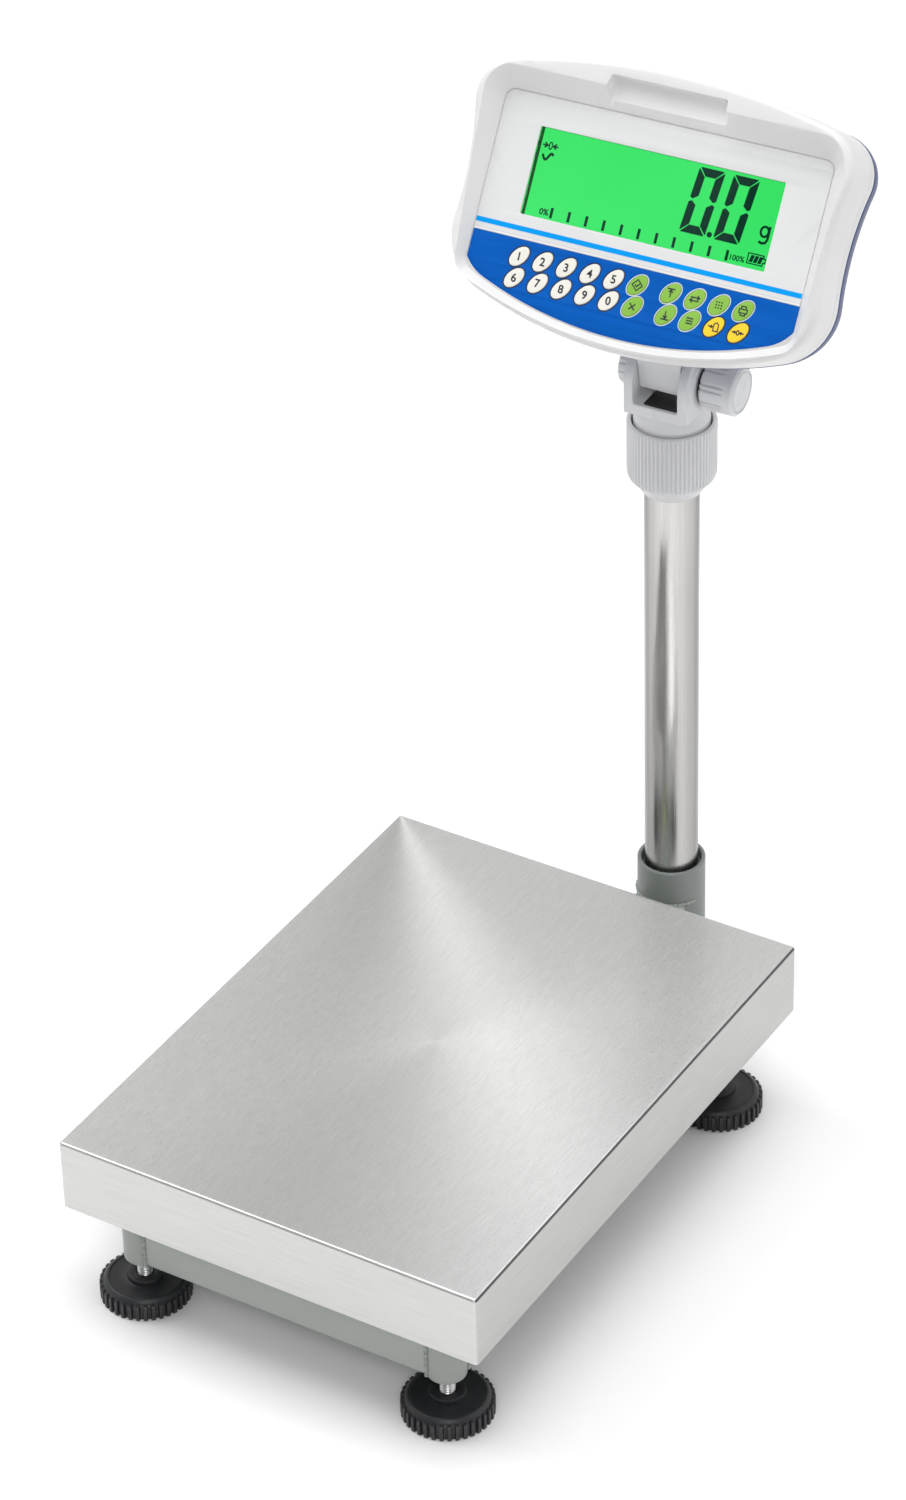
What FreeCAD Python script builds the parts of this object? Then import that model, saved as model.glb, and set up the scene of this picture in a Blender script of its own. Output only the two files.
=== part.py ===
"""Bench scale with a stainless pan on a load cell, and an indicator head on a post behind it.

Millimetres. +Z is up, +X is to the right of the person who reads the display, and -Y is that person's side.
The origin is on the floor, under the middle of the whole scale.
"""

import FreeCAD, Part
import math
import os

# ---------------------------------------------------------------- driving dimensions
PAN_WIDTH, PAN_LENGTH, PAN_HEIGHT = 300.0, 400.0, 50.8
PAN_SHEET = 1.2
PAN_TOP = 124.0
PAN_Y = -78.0                 # middle of the pan
PAN_LIFT_GAP = 0.05

BASE_Y = PAN_Y - 2.0          # middle of the four feet
FOOT_X, FOOT_Y = 111.0, 170.5
FRAME_BOTTOM, FRAME_TOP = 31.0, 61.0
CORNER_RADIUS = 12.5
RAIL_WIDTH, RAIL_WALL = 20.0, 2.0
BEAM_WIDTH, BEAM_WALL = 60.0, 2.5

FOOT_RADIUS, FOOT_ROOT_RADIUS = 29.2, 27.6
FOOT_TEETH = 36
FOOT_KNURL_HEIGHT, FOOT_CHAMFER_TOP, FOOT_HUB_TOP = 11.5, 14.5, 17.5
FOOT_FACE_RADIUS, FOOT_HUB_RADIUS = 24.5, 11.5
STUD_RADIUS, RUNNING_GAP = 5.0, 0.05
STUD_BOTTOM, STUD_TOP = 5.0, 55.0

CELL_LENGTH, CELL_WIDTH, CELL_HEIGHT = 150.0, 40.0, 35.0
SPACER_LENGTH, SPACER_HEIGHT = 40.0, 5.0
CELL_BOLT_RADIUS, CELL_BOLT_PITCH = 4.0, 22.0
TOP_PLATE_WIDTH, TOP_PLATE_LENGTH, TOP_PLATE_THICKNESS = 260.0, 360.0, 5.0
BUFFER_RADIUS, BUFFER_X, BUFFER_Y = 9.0, 105.0, 145.0
STOP_RADIUS, STOP_Y, STOP_GAP = 4.0, 130.0, 1.5

POST_Y = PAN_Y + 304.0
POST_RADIUS, POST_WALL = 18.0, 1.5
POST_BOTTOM, POST_TOP = 28.0, 384.0
SOCKET_RADIUS, SOCKET_MOUTH_RADIUS = 23.0, 20.2
SOCKET_BOTTOM, SOCKET_TOP, SOCKET_MOUTH_DEPTH = 24.0, 78.0, 8.0
ARM_WIDTH, ARM_WALL = 50.0, 2.5
ARM_END_WIDTH, ARM_END_TOP = 36.0, 52.0
ARM_TAPER_START, ARM_TAPER_END = 36.0, 64.0   # from the arm's welded end
CABLE_RADIUS, CABLE_Z, CABLE_BEND = 3.0, 46.0, 12.0

COLLAR_RADIUS, COLLAR_BORE = 29.2, 26.2
COLLAR_BOTTOM, COLLAR_TOP = 370.0, 422.0
PIVOT_PIN_RADIUS = 9.0
NECK_RADIUS, NECK_BOTTOM = 25.0, 390.3
FORK_WIDTH, FORK_DEPTH = 44.0, 50.0
FORK_BOTTOM, FORK_FLOOR = 434.0, 441.5
EAR_THICKNESS = 6.3
TILT_Z = 454.0                # height of the tilt axis, which crosses the post's axis
TILT_BOLT_RADIUS = 4.0
KNOB_RADIUS, KNOB_START, KNOB_END = 16.5, 26.0, 49.4

HEAD_TURN = 2.7               # degrees the head is turned on the post
FACE_TILT = 32.9              # degrees the face looks up
FACE_FORWARD, FACE_Z = 28.7, 594.5   # middle of the display, from the post's axis and from the floor
FRONT_SHELL_DEPTH, REAR_SHELL_DEPTH = 28.0, 28.0
SHELL_WALL = 2.5
REAR_TAPER = 14.0
RIM_HEIGHT, RIM_SLOPE = 8.2, 0.083   # the rim stands out of the face, more towards the top

PANEL_HALF_WIDTH, PANEL_TOP, PANEL_BOTTOM = 112.8, 47.0, -41.4
PANEL_THICKNESS = 0.8
KEYPAD_TOP, KEYPAD_LOW = -43.2, -89.6
WINDOW_WIDTH, WINDOW_HEIGHT = 168.0, 55.6
LCD_DEPTH = 3.3               # the lit display lies this far behind the face plate
KEY_LONG, KEY_SHORT, KEY_SLANT = 8.1, 4.9, 48.0
KEY_ROWS = {"upper": -53.8, "lower": -67.4}
KEY_FIRST_X, KEY_PITCH, KEY_SECOND_BLOCK_X = -77.2, 16.45, 28.0
KEY_NAMES = {
    "upper": ["key_1", "key_2", "key_3", "key_4", "key_5", "key_check",
              "key_high_limit", "key_unit", "key_count", "key_print"],
    "lower": ["key_6", "key_7", "key_8", "key_9", "key_0", "key_clear",
              "key_low_limit", "key_function", "key_tare", "key_zero"],
}
KEYS_IN_FIRST_BLOCK = 6

X, Y, Z = FreeCAD.Vector(1, 0, 0), FreeCAD.Vector(0, 1, 0), FreeCAD.Vector(0, 0, 1)
CORNERS = [(sx, sy) for sx in (-1, 1) for sy in (-1, 1)]
CORNER_NAMES = {(-1, -1): "front_left", (1, -1): "front_right", (-1, 1): "rear_left", (1, 1): "rear_right"}


# ---------------------------------------------------------------- plain shapes
def block(x, y, z):
    """A box from (low, high) pairs."""
    return Part.makeBox(x[1] - x[0], y[1] - y[0], z[1] - z[0], FreeCAD.Vector(x[0], y[0], z[0]))


def upright(radius, low, high, x=0.0, y=0.0):
    return Part.makeCylinder(radius, high - low, FreeCAD.Vector(x, y, low), Z)


def rod(radius, start, length, direction):
    return Part.makeCylinder(radius, length, FreeCAD.Vector(*start), direction)


def turned(profile, x=0.0, y=0.0):
    """A solid of revolution about a vertical axis, from (radius, height) points."""
    points = [FreeCAD.Vector(r, 0, z) for r, z in profile]
    solid = Part.Face(Part.makePolygon(points + points[:1])).revolve(FreeCAD.Vector(), Z, 360)
    solid.translate(FreeCAD.Vector(x, y, 0))
    return solid


def box_tube(x, y, z, wall, along):
    """A rectangular tube, open at both ends of the axis that it runs along."""
    spans = {"x": x, "y": y, "z": z}
    inner = {n: s if n == along else (s[0] + wall, s[1] - wall) for n, s in spans.items()}
    return block(x, y, z).cut(block(inner["x"], inner["y"], inner["z"]))


def group(solids):
    return Part.makeCompound(solids)


def toothed_face(outer, root, count, z):
    """A flat face with square teeth round its edge."""
    step = 2 * math.pi / count
    points = []
    for i in range(count):
        for radius, turn in ((root, 0.0), (outer, 0.06), (outer, 0.54), (root, 0.6)):
            angle = (i + turn) * step
            points.append(FreeCAD.Vector(radius * math.cos(angle), radius * math.sin(angle), z))
    return Part.Face(Part.makePolygon(points + points[:1]))


# ---------------------------------------------------------------- pan
def make_pan():
    skirt_bottom = PAN_TOP - PAN_HEIGHT
    half_x, half_y = PAN_WIDTH / 2, PAN_LENGTH / 2
    outer = block((-half_x, half_x), (PAN_Y - half_y, PAN_Y + half_y), (skirt_bottom, PAN_TOP))
    bends = [e for e in outer.Edges if e.BoundBox.ZMax > PAN_TOP - 1 or e.BoundBox.ZLength > PAN_HEIGHT - 1]
    outer = outer.makeFillet(2.5, [e for e in bends if e.BoundBox.ZMin < PAN_TOP - 1 or e.Length > 10])
    inside_x, inside_y = half_x - PAN_SHEET, half_y - PAN_SHEET
    hollow = block((-inside_x, inside_x), (PAN_Y - inside_y, PAN_Y + inside_y),
                   (skirt_bottom - 1, PAN_TOP - PAN_SHEET))
    upright_edges = [e for e in hollow.Edges if e.BoundBox.ZLength > 10]
    return outer.cut(hollow.makeFillet(1.3, upright_edges))


# ---------------------------------------------------------------- base frame
def corner_spots():
    return [(sx * FOOT_X, BASE_Y + sy * FOOT_Y) for sx, sy in CORNERS]


def stop_spots():
    return [(sx * FOOT_X, BASE_Y + sy * STOP_Y) for sx, sy in CORNERS]


def cable_passage():
    """The straight hole that the load cell's cable takes to the post."""
    return rod(CABLE_RADIUS + 2, (0, BASE_Y, CABLE_Z), POST_Y - BASE_Y, Y)


def make_corner_posts():
    bore = STUD_RADIUS + RUNNING_GAP
    return group([upright(CORNER_RADIUS, FRAME_BOTTOM, FRAME_TOP, x, y)
                  .cut(upright(bore, FRAME_BOTTOM, FRAME_TOP, x, y)) for x, y in corner_spots()])


def make_frame_rails():
    half = RAIL_WIDTH / 2
    height = (FRAME_BOTTOM, FRAME_TOP)
    rails = []
    for side in (-1, 1):
        middle = BASE_Y + side * FOOT_Y
        rails.append(box_tube((-FOOT_X, FOOT_X), (middle - half, middle + half), height, RAIL_WALL, "x"))
    for side in (-1, 1):
        middle = side * FOOT_X
        rails.append(box_tube((middle - half, middle + half), (BASE_Y - FOOT_Y, BASE_Y + FOOT_Y),
                              height, RAIL_WALL, "y"))
    for x, y in corner_spots():
        rails = [r.cut(upright(CORNER_RADIUS, FRAME_BOTTOM, FRAME_TOP, x, y)) for r in rails]
    for x, y in stop_spots():
        rails = [r.cut(upright(STOP_RADIUS, FRAME_TOP - 5, FRAME_TOP, x, y)) for r in rails]
    return group([max(r.cut(cable_passage()).Solids, key=lambda s: s.Volume) for r in rails])


def make_centre_beam():
    reach = FOOT_Y - RAIL_WIDTH / 2
    beam = box_tube((-BEAM_WIDTH / 2, BEAM_WIDTH / 2), (BASE_Y - reach, BASE_Y + reach),
                    (FRAME_BOTTOM, FRAME_TOP), BEAM_WALL, "y")
    for y in cell_bolt_spots(1):
        beam = beam.cut(upright(CELL_BOLT_RADIUS, FRAME_TOP - 5, FRAME_TOP, 0, y))
    return beam


def tapered_arm(start, shrink):
    """The arm's outside, or with shrink its inside: it narrows and its top drops towards the socket."""
    wide, narrow = ARM_WIDTH / 2 - shrink, ARM_END_WIDTH / 2 - shrink
    low, high, end_high = FRAME_BOTTOM + shrink, FRAME_TOP - shrink, ARM_END_TOP - shrink
    wires = []
    for y, half, top in ((start, wide, high), (start + ARM_TAPER_START, wide, high),
                         (start + ARM_TAPER_END, narrow, end_high), (POST_Y, narrow, end_high)):
        corners = ((-half, low), (half, low), (half, top), (-half, top), (-half, low))
        wires.append(Part.makePolygon([FreeCAD.Vector(x, y, z) for x, z in corners]))
    return Part.makeLoft(wires, True, True)


def make_post_bracket():
    arm_start = BASE_Y + FOOT_Y + RAIL_WIDTH / 2
    socket = upright(SOCKET_RADIUS, SOCKET_BOTTOM, SOCKET_TOP, 0, POST_Y)
    socket = socket.cut(upright(POST_RADIUS, POST_BOTTOM, SOCKET_TOP, 0, POST_Y))
    socket = socket.cut(upright(SOCKET_MOUTH_RADIUS, SOCKET_TOP - SOCKET_MOUTH_DEPTH, SOCKET_TOP, 0, POST_Y))
    socket = socket.cut(cable_passage())
    for z in clamp_screw_heights():
        socket = socket.cut(rod(3, (0, POST_Y, z), SOCKET_RADIUS, Y))
    arm = tapered_arm(arm_start, 0).cut(tapered_arm(arm_start, ARM_WALL))
    arm = arm.cut(upright(SOCKET_RADIUS, SOCKET_BOTTOM, SOCKET_TOP, 0, POST_Y))
    return group([socket, max(arm.Solids, key=lambda s: s.Volume)])


def clamp_screw_heights():
    return (SOCKET_BOTTOM + 16, SOCKET_BOTTOM + 34)


def make_post_clamp_screws():
    screws = []
    for z in clamp_screw_heights():
        shank = rod(3, (0, POST_Y + POST_RADIUS, z), SOCKET_RADIUS - POST_RADIUS, Y)
        head = rod(5, (0, POST_Y + SOCKET_RADIUS, z), 6, Y)
        socket_hole = rod(2.5, (0, POST_Y + SOCKET_RADIUS + 2.5, z), 4, Y)
        screws.append(shank.fuse(head).cut(socket_hole))
    return group(screws)


def make_post_tube():
    tube = upright(POST_RADIUS, POST_BOTTOM, POST_TOP, 0, POST_Y)
    tube = tube.cut(upright(POST_RADIUS - POST_WALL, POST_BOTTOM, POST_TOP, 0, POST_Y))
    return tube.cut(cable_passage())


def make_signal_cable():
    """From the load cell's rear end, through the beam and the arm, and up the post."""
    bend_y = POST_Y - CABLE_BEND
    start_y = BASE_Y + CELL_LENGTH / 2 + 20
    level = rod(CABLE_RADIUS, (0, start_y, CABLE_Z), bend_y - start_y, Y)
    circle = Part.Circle(FreeCAD.Vector(0, bend_y, CABLE_Z), Y, CABLE_RADIUS).toShape()
    bend = Part.Face(Part.Wire(circle)).revolve(FreeCAD.Vector(0, bend_y, CABLE_Z + CABLE_BEND), X, 90)
    rise = upright(CABLE_RADIUS, CABLE_Z + CABLE_BEND, POST_TOP + 30, 0, POST_Y)
    return level.fuse([bend, rise]).removeSplitter()


def make_spirit_level():
    y = BASE_Y + FOOT_Y + RAIL_WIDTH / 2 + 22
    return turned([(0, FRAME_TOP), (11, FRAME_TOP), (11, FRAME_TOP + 7), (9, FRAME_TOP + 8),
                   (0, FRAME_TOP + 8)], 0, y)


# ---------------------------------------------------------------- load cell and top plate
CELL_BOTTOM = FRAME_TOP + SPACER_HEIGHT
CELL_TOP = CELL_BOTTOM + CELL_HEIGHT
PLATE_BOTTOM = CELL_TOP + SPACER_HEIGHT
PLATE_TOP = PLATE_BOTTOM + TOP_PLATE_THICKNESS


def cell_end_y(side):
    """Middle of the fixed end (side 1, rear) or of the loaded end (side -1, front)."""
    return BASE_Y + side * (CELL_LENGTH - SPACER_LENGTH) / 2


def cell_bolt_spots(side):
    return [cell_end_y(side) + s * CELL_BOLT_PITCH / 2 for s in (-1, 1)]


def make_load_cell():
    half_x, half_y = CELL_WIDTH / 2, CELL_LENGTH / 2
    cell = block((-half_x, half_x), (BASE_Y - half_y, BASE_Y + half_y), (CELL_BOTTOM, CELL_TOP))
    middle = (CELL_BOTTOM + CELL_TOP) / 2
    for side in (-1, 1):
        cell = cell.cut(rod(12, (-half_x, BASE_Y + side * 14, middle), CELL_WIDTH, X))
    cell = cell.cut(block((-half_x, half_x), (BASE_Y - 14, BASE_Y + 14), (middle - 5, middle + 5)))
    for y in cell_bolt_spots(1):
        cell = cell.cut(upright(CELL_BOLT_RADIUS, CELL_BOTTOM, CELL_BOTTOM + 12, 0, y))
    for y in cell_bolt_spots(-1):
        cell = cell.cut(upright(CELL_BOLT_RADIUS, CELL_TOP - 12, CELL_TOP, 0, y))
    return cell


def make_load_cell_spacers():
    spacers = []
    for side, bottom in ((1, FRAME_TOP), (-1, CELL_TOP)):
        middle = cell_end_y(side)
        spacer = block((-CELL_WIDTH / 2, CELL_WIDTH / 2),
                       (middle - SPACER_LENGTH / 2, middle + SPACER_LENGTH / 2),
                       (bottom, bottom + SPACER_HEIGHT))
        for y in cell_bolt_spots(side):
            spacer = spacer.cut(upright(CELL_BOLT_RADIUS, bottom, bottom + SPACER_HEIGHT, 0, y))
        spacers.append(spacer)
    return group(spacers)


def make_load_cell_bolts():
    """Two bolts up into the fixed end from inside the beam, and two down into the loaded end."""
    bolts = []
    for y in cell_bolt_spots(1):
        head = upright(6.5, FRAME_TOP - BEAM_WALL - 6, FRAME_TOP - BEAM_WALL, 0, y)
        bolts.append(head.fuse(upright(CELL_BOLT_RADIUS, FRAME_TOP - BEAM_WALL, CELL_BOTTOM + 12, 0, y)))
    for y in cell_bolt_spots(-1):
        head = upright(6.5, PLATE_TOP, PLATE_TOP + 6, 0, y)
        bolts.append(head.fuse(upright(CELL_BOLT_RADIUS, CELL_TOP - 12, PLATE_TOP, 0, y)))
    return group(bolts)


def make_top_plate():
    half_x, half_y = TOP_PLATE_WIDTH / 2, TOP_PLATE_LENGTH / 2
    plate = block((-half_x, half_x), (PAN_Y - half_y, PAN_Y + half_y), (PLATE_BOTTOM, PLATE_TOP))
    plate = plate.makeFillet(15, [e for e in plate.Edges if e.BoundBox.ZLength > 1])
    for y in cell_bolt_spots(-1):
        plate = plate.cut(upright(CELL_BOLT_RADIUS, PLATE_BOTTOM, PLATE_TOP, 0, y))
    return plate


def make_pan_buffers():
    top = PAN_TOP - PAN_SHEET - PAN_LIFT_GAP
    return group([upright(BUFFER_RADIUS, PLATE_TOP, top, sx * BUFFER_X, PAN_Y + sy * BUFFER_Y)
                  for sx, sy in CORNERS])


def make_overload_stops():
    """A stud through each side rail, with its lock nut, just under the top plate."""
    nut = Part.Face(Part.makePolygon([FreeCAD.Vector(7.5 * math.cos(math.radians(60 * i)),
                                                     7.5 * math.sin(math.radians(60 * i)), FRAME_TOP)
                                      for i in range(7)])).extrude(Z * 6.5)
    stops = []
    for x, y in stop_spots():
        placed = nut.copy()
        placed.translate(FreeCAD.Vector(x, y, 0))
        stops.append(placed.fuse(upright(STOP_RADIUS, FRAME_TOP - 8, PLATE_BOTTOM - STOP_GAP, x, y)))
    return group(stops)


# ---------------------------------------------------------------- levelling feet
def make_foot_stud(x, y):
    return turned([(0, STUD_BOTTOM), (STUD_RADIUS, STUD_BOTTOM), (STUD_RADIUS, STUD_TOP - 1),
                   (STUD_RADIUS - 1, STUD_TOP), (0, STUD_TOP)], x, y)


def make_foot_disc(x, y):
    knurl = toothed_face(FOOT_RADIUS, FOOT_ROOT_RADIUS, FOOT_TEETH, 0).extrude(Z * FOOT_KNURL_HEIGHT)
    knurl.translate(FreeCAD.Vector(x, y, 0))
    top = turned([(0, FOOT_KNURL_HEIGHT), (FOOT_ROOT_RADIUS, FOOT_KNURL_HEIGHT),
                  (FOOT_FACE_RADIUS, FOOT_CHAMFER_TOP), (FOOT_HUB_RADIUS, FOOT_CHAMFER_TOP - 0.8),
                  (FOOT_HUB_RADIUS, FOOT_HUB_TOP), (0, FOOT_HUB_TOP)], x, y)
    return knurl.fuse(top).cut(upright(STUD_RADIUS + RUNNING_GAP, STUD_BOTTOM - 0.3, FOOT_HUB_TOP, x, y))


# ---------------------------------------------------------------- post head: adapter, collar, neck
def on_neck(shape):
    """Puts a shape drawn about the post's axis, square to the head, at its turned place."""
    shape.rotate(FreeCAD.Vector(), Z, HEAD_TURN)
    shape.translate(FreeCAD.Vector(0, POST_Y, 0))
    return shape


def make_post_adapter():
    """A plug in the post's top with the pin that the neck turns on, and the nut that keeps the neck down."""
    flange_top = NECK_BOTTOM - 0.3
    spigot = POST_RADIUS - POST_WALL
    plug = turned([(4, POST_TOP - 40), (spigot, POST_TOP - 40), (spigot, POST_TOP), (POST_RADIUS, POST_TOP),
                   (POST_RADIUS, flange_top), (PIVOT_PIN_RADIUS, flange_top), (PIVOT_PIN_RADIUS, 431.7),
                   (6, 431.7), (6, 440), (4, 440)], 0, POST_Y)
    nut = turned([(6, 432.3), (12, 432.3), (12, 439), (6, 439)], 0, POST_Y)
    return group([plug, nut])


def make_collar():
    running = POST_RADIUS + 0.3
    return turned([(running, COLLAR_BOTTOM), (19.5, COLLAR_BOTTOM), (24, COLLAR_BOTTOM + 7.5),
                   (27.6, COLLAR_BOTTOM + 9.5), (COLLAR_RADIUS, COLLAR_BOTTOM + 13.5),
                   (COLLAR_RADIUS, COLLAR_TOP - 0.8), (COLLAR_RADIUS - 0.8, COLLAR_TOP),
                   (COLLAR_BORE, COLLAR_TOP), (COLLAR_BORE, NECK_BOTTOM - 0.3),
                   (running, NECK_BOTTOM - 0.3)], 0, POST_Y)


def ear_profile(x, thickness, radius=FORK_DEPTH / 2):
    """An upright plate that is rounded about the tilt axis."""
    plate = block((x, x + thickness), (-radius, radius), (FORK_BOTTOM, TILT_Z))
    return plate.fuse(rod(radius, (x, 0, TILT_Z), thickness, X)).removeSplitter()


def make_neck_fork():
    half = FORK_WIDTH / 2
    neck = turned([(0, NECK_BOTTOM), (NECK_RADIUS, NECK_BOTTOM), (NECK_RADIUS, COLLAR_TOP + 2),
                   (23, FORK_BOTTOM + 2), (0, FORK_BOTTOM + 2)])
    neck = neck.fuse(block((-half, half), (-FORK_DEPTH / 2, FORK_DEPTH / 2), (FORK_BOTTOM, FORK_FLOOR)))
    neck = neck.fuse([ear_profile(-half, EAR_THICKNESS), ear_profile(half - EAR_THICKNESS, EAR_THICKNESS)])
    neck = neck.fuse([rod(20, (half, 0, TILT_Z), 2, X)]).removeSplitter()
    neck = neck.cut(upright(PIVOT_PIN_RADIUS + RUNNING_GAP, NECK_BOTTOM, FORK_FLOOR))
    neck = neck.cut(upright(12.4, 432.0, FORK_FLOOR))
    return on_neck(neck.cut(rod(TILT_BOLT_RADIUS, (-half, 0, TILT_Z), FORK_WIDTH + 2, X)))


def make_tilt_bolt():
    """A carriage bolt across the fork, with its round boss at the left ear."""
    half = FORK_WIDTH / 2
    boss = rod(12, (-half - 6, 0, TILT_Z), 6, X)
    recess = rod(7, (-half - 6, 0, TILT_Z), 2, X)
    return on_neck(boss.cut(recess).fuse(rod(TILT_BOLT_RADIUS, (-half - 4, 0, TILT_Z), half + 4 + 38, X)))


def make_clamp_knob():
    knob = rod(KNOB_RADIUS, (KNOB_START, 0, TILT_Z), KNOB_END - KNOB_START, X)
    knob = knob.makeChamfer(1.2, [e for e in knob.Edges if e.BoundBox.XLength < 0.01])
    ring = rod(13.4, (KNOB_END - 0.6, 0, TILT_Z), 1, X).cut(rod(12.8, (KNOB_END - 0.6, 0, TILT_Z), 1, X))
    knob = knob.fuse(rod(9, (FORK_WIDTH / 2 + 2.4, 0, TILT_Z), 4, X)).cut(ring)
    for i in range(8):
        groove = block((KNOB_START - 1, KNOB_START + 16), (-1.6, 1.6), (KNOB_RADIUS - 0.7, KNOB_RADIUS + 2))
        groove.rotate(FreeCAD.Vector(), X, 45 * i + 22.5)
        groove.translate(FreeCAD.Vector(0, 0, TILT_Z))
        knob = knob.cut(groove)
    bore = rod(TILT_BOLT_RADIUS + RUNNING_GAP, (FORK_WIDTH / 2, 0, TILT_Z), 38.4 - FORK_WIDTH / 2, X)
    return on_neck(knob.cut(bore))


# ---------------------------------------------------------------- head outlines
def unit(vector):
    return vector / vector.Length


def arc_between(centre, start, end):
    """The shorter arc from start to end about a centre."""
    middle = centre + unit((start - centre) + (end - centre)) * (start - centre).Length
    return Part.Arc(start, middle, end).toShape()


def mirrored(point):
    return FreeCAD.Vector(-point.x, point.y, point.z)


def head_outline(inset=0.0, n=0.0):
    """The head's outline: arched top and bottom, round corners and a slight waist, all in arcs."""
    top_radius, corner_radius, waist_radius, low_radius, bottom_radius = 497.0, 27.8, 215.0, 39.5, 285.0
    top = FreeCAD.Vector(0, 77.3 - top_radius, n)
    bottom = FreeCAD.Vector(0, bottom_radius - 98.2, n)
    corner = FreeCAD.Vector(101.3, top.y + math.sqrt((top_radius - corner_radius) ** 2 - 101.3 ** 2), n)
    low = FreeCAD.Vector(87.4, bottom.y - math.sqrt((bottom_radius - low_radius) ** 2 - 87.4 ** 2), n)
    waist = outer_tangent_centre(corner, corner_radius + waist_radius, low, low_radius + waist_radius)
    a = top + unit(corner - top) * (top_radius - inset)
    b = corner + unit(waist - corner) * (corner_radius - inset)
    c = low + unit(waist - low) * (low_radius - inset)
    d = bottom + unit(low - bottom) * (bottom_radius - inset)
    right = [arc_between(corner, a, b), arc_between(waist, b, c), arc_between(low, c, d)]
    left = [arc_between(mirrored(low), mirrored(d), mirrored(c)),
            arc_between(mirrored(waist), mirrored(c), mirrored(b)),
            arc_between(mirrored(corner), mirrored(b), mirrored(a))]
    return Part.Wire([arc_between(top, mirrored(a), a), *right, arc_between(bottom, d, mirrored(d)), *left])


def outer_tangent_centre(p, from_p, q, from_q):
    """The point at the two given distances from p and q, on the +X side."""
    across = q - p
    along = (from_p ** 2 - from_q ** 2 + across.Length ** 2) / (2 * across.Length)
    height = math.sqrt(from_p ** 2 - along ** 2)
    side = FreeCAD.Vector(-unit(across).y, unit(across).x, 0)
    return p + unit(across) * along + side * height


def face_outline(grow=0.0, n=0.0):
    """The recessed face inside the rim: straight top and sides, and a bottom that follows the head's."""
    half, top = PANEL_HALF_WIDTH + grow, PANEL_TOP + grow
    top_corner, low_corner, bottom_radius = 7.0, 8.0, 285.0
    bottom = FreeCAD.Vector(0, KEYPAD_LOW + bottom_radius, n)
    low_x = PANEL_HALF_WIDTH - low_corner
    low = FreeCAD.Vector(low_x, bottom.y - math.sqrt((bottom_radius - low_corner) ** 2 - low_x ** 2), n)
    corner = FreeCAD.Vector(PANEL_HALF_WIDTH - top_corner, PANEL_TOP - top_corner, n)
    a, b = FreeCAD.Vector(corner.x, top, n), FreeCAD.Vector(half, corner.y, n)
    c = FreeCAD.Vector(half, low.y, n)
    d = bottom + unit(low - bottom) * (bottom_radius + grow)
    right = [arc_between(corner, a, b), Part.makeLine(b, c), arc_between(low, c, d)]
    left = [arc_between(mirrored(low), mirrored(d), mirrored(c)), Part.makeLine(mirrored(c), mirrored(b)),
            arc_between(mirrored(corner), mirrored(b), mirrored(a))]
    return Part.Wire([Part.makeLine(mirrored(a), a), *right, arc_between(bottom, d, mirrored(d)), *left])


def slab(outline, low, high, size=0.0):
    """An outline, made with its size argument, raised between two heights over the face."""
    return Part.Face(outline(size, low)).extrude(Z * (high - low))


def under_rim(drop=0.0):
    """Everything below the sloping plane of the rim, lowered by drop."""
    reach = 120.0
    heights = [(y, RIM_HEIGHT + RIM_SLOPE * y - drop) for y in (-reach, reach)]
    profile = [(-reach, -80.0), *heights, (reach, -80.0)]
    points = [FreeCAD.Vector(-150, y, n) for y, n in profile]
    return Part.Face(Part.makePolygon(points + points[:1])).extrude(X * 300)


# ---------------------------------------------------------------- head: shells and face
def on_head(shape):
    """Puts a shape drawn in the face's own frame (x right, y up the face, z out of it) on the post."""
    tilt = FreeCAD.Rotation(X, 90 - FACE_TILT)
    turn = FreeCAD.Rotation(Z, HEAD_TURN)
    spot = FreeCAD.Vector(0, POST_Y, 0) + turn.multVec(FreeCAD.Vector(0, -FACE_FORWARD, FACE_Z))
    shape.Placement = FreeCAD.Placement(spot, turn.multiply(tilt)).multiply(shape.Placement)
    return shape


def face_point(y, z):
    """A point of the post's frame (y from its axis, z from the floor) in the face's own frame."""
    angle = math.radians(FACE_TILT)
    dy, dz = y + FACE_FORWARD, z - FACE_Z
    return dy * math.sin(angle) + dz * math.cos(angle), -dy * math.cos(angle) + dz * math.sin(angle)


def on_side(profile, half):
    """A plate of the given half width from (y, z) points of the post's frame, in the face's own frame."""
    points = [FreeCAD.Vector(-half, *face_point(y, z)) for y, z in profile]
    return Part.Face(Part.makePolygon(points + points[:1])).extrude(X * 2 * half)


def on_pivot(shape):
    """Moves a shape drawn about the tilt axis to its place in the face's own frame."""
    shape.translate(FreeCAD.Vector(0, *face_point(0, TILT_Z)))
    return shape


def key_spots():
    """Name and place on the face of every key."""
    spots = {}
    for row, y in KEY_ROWS.items():
        for i, name in enumerate(KEY_NAMES[row]):
            second = i >= KEYS_IN_FIRST_BLOCK
            x = (KEY_SECOND_BLOCK_X + (i - KEYS_IN_FIRST_BLOCK) * KEY_PITCH if second
                 else KEY_FIRST_X + i * KEY_PITCH)
            spots[name] = (x, y)
    return spots


def key_slug(x, y, low, high, gap=0.0):
    """A slanted elliptical slug between two heights over the face."""
    ellipse = Part.Ellipse(FreeCAD.Vector(0, 0, low), KEY_LONG + gap, KEY_SHORT + gap).toShape()
    slug = Part.Face(Part.Wire(ellipse)).extrude(Z * (high - low))
    slug.rotate(FreeCAD.Vector(), Z, KEY_SLANT)
    slug.translate(FreeCAD.Vector(x, y, 0))
    return slug


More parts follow.
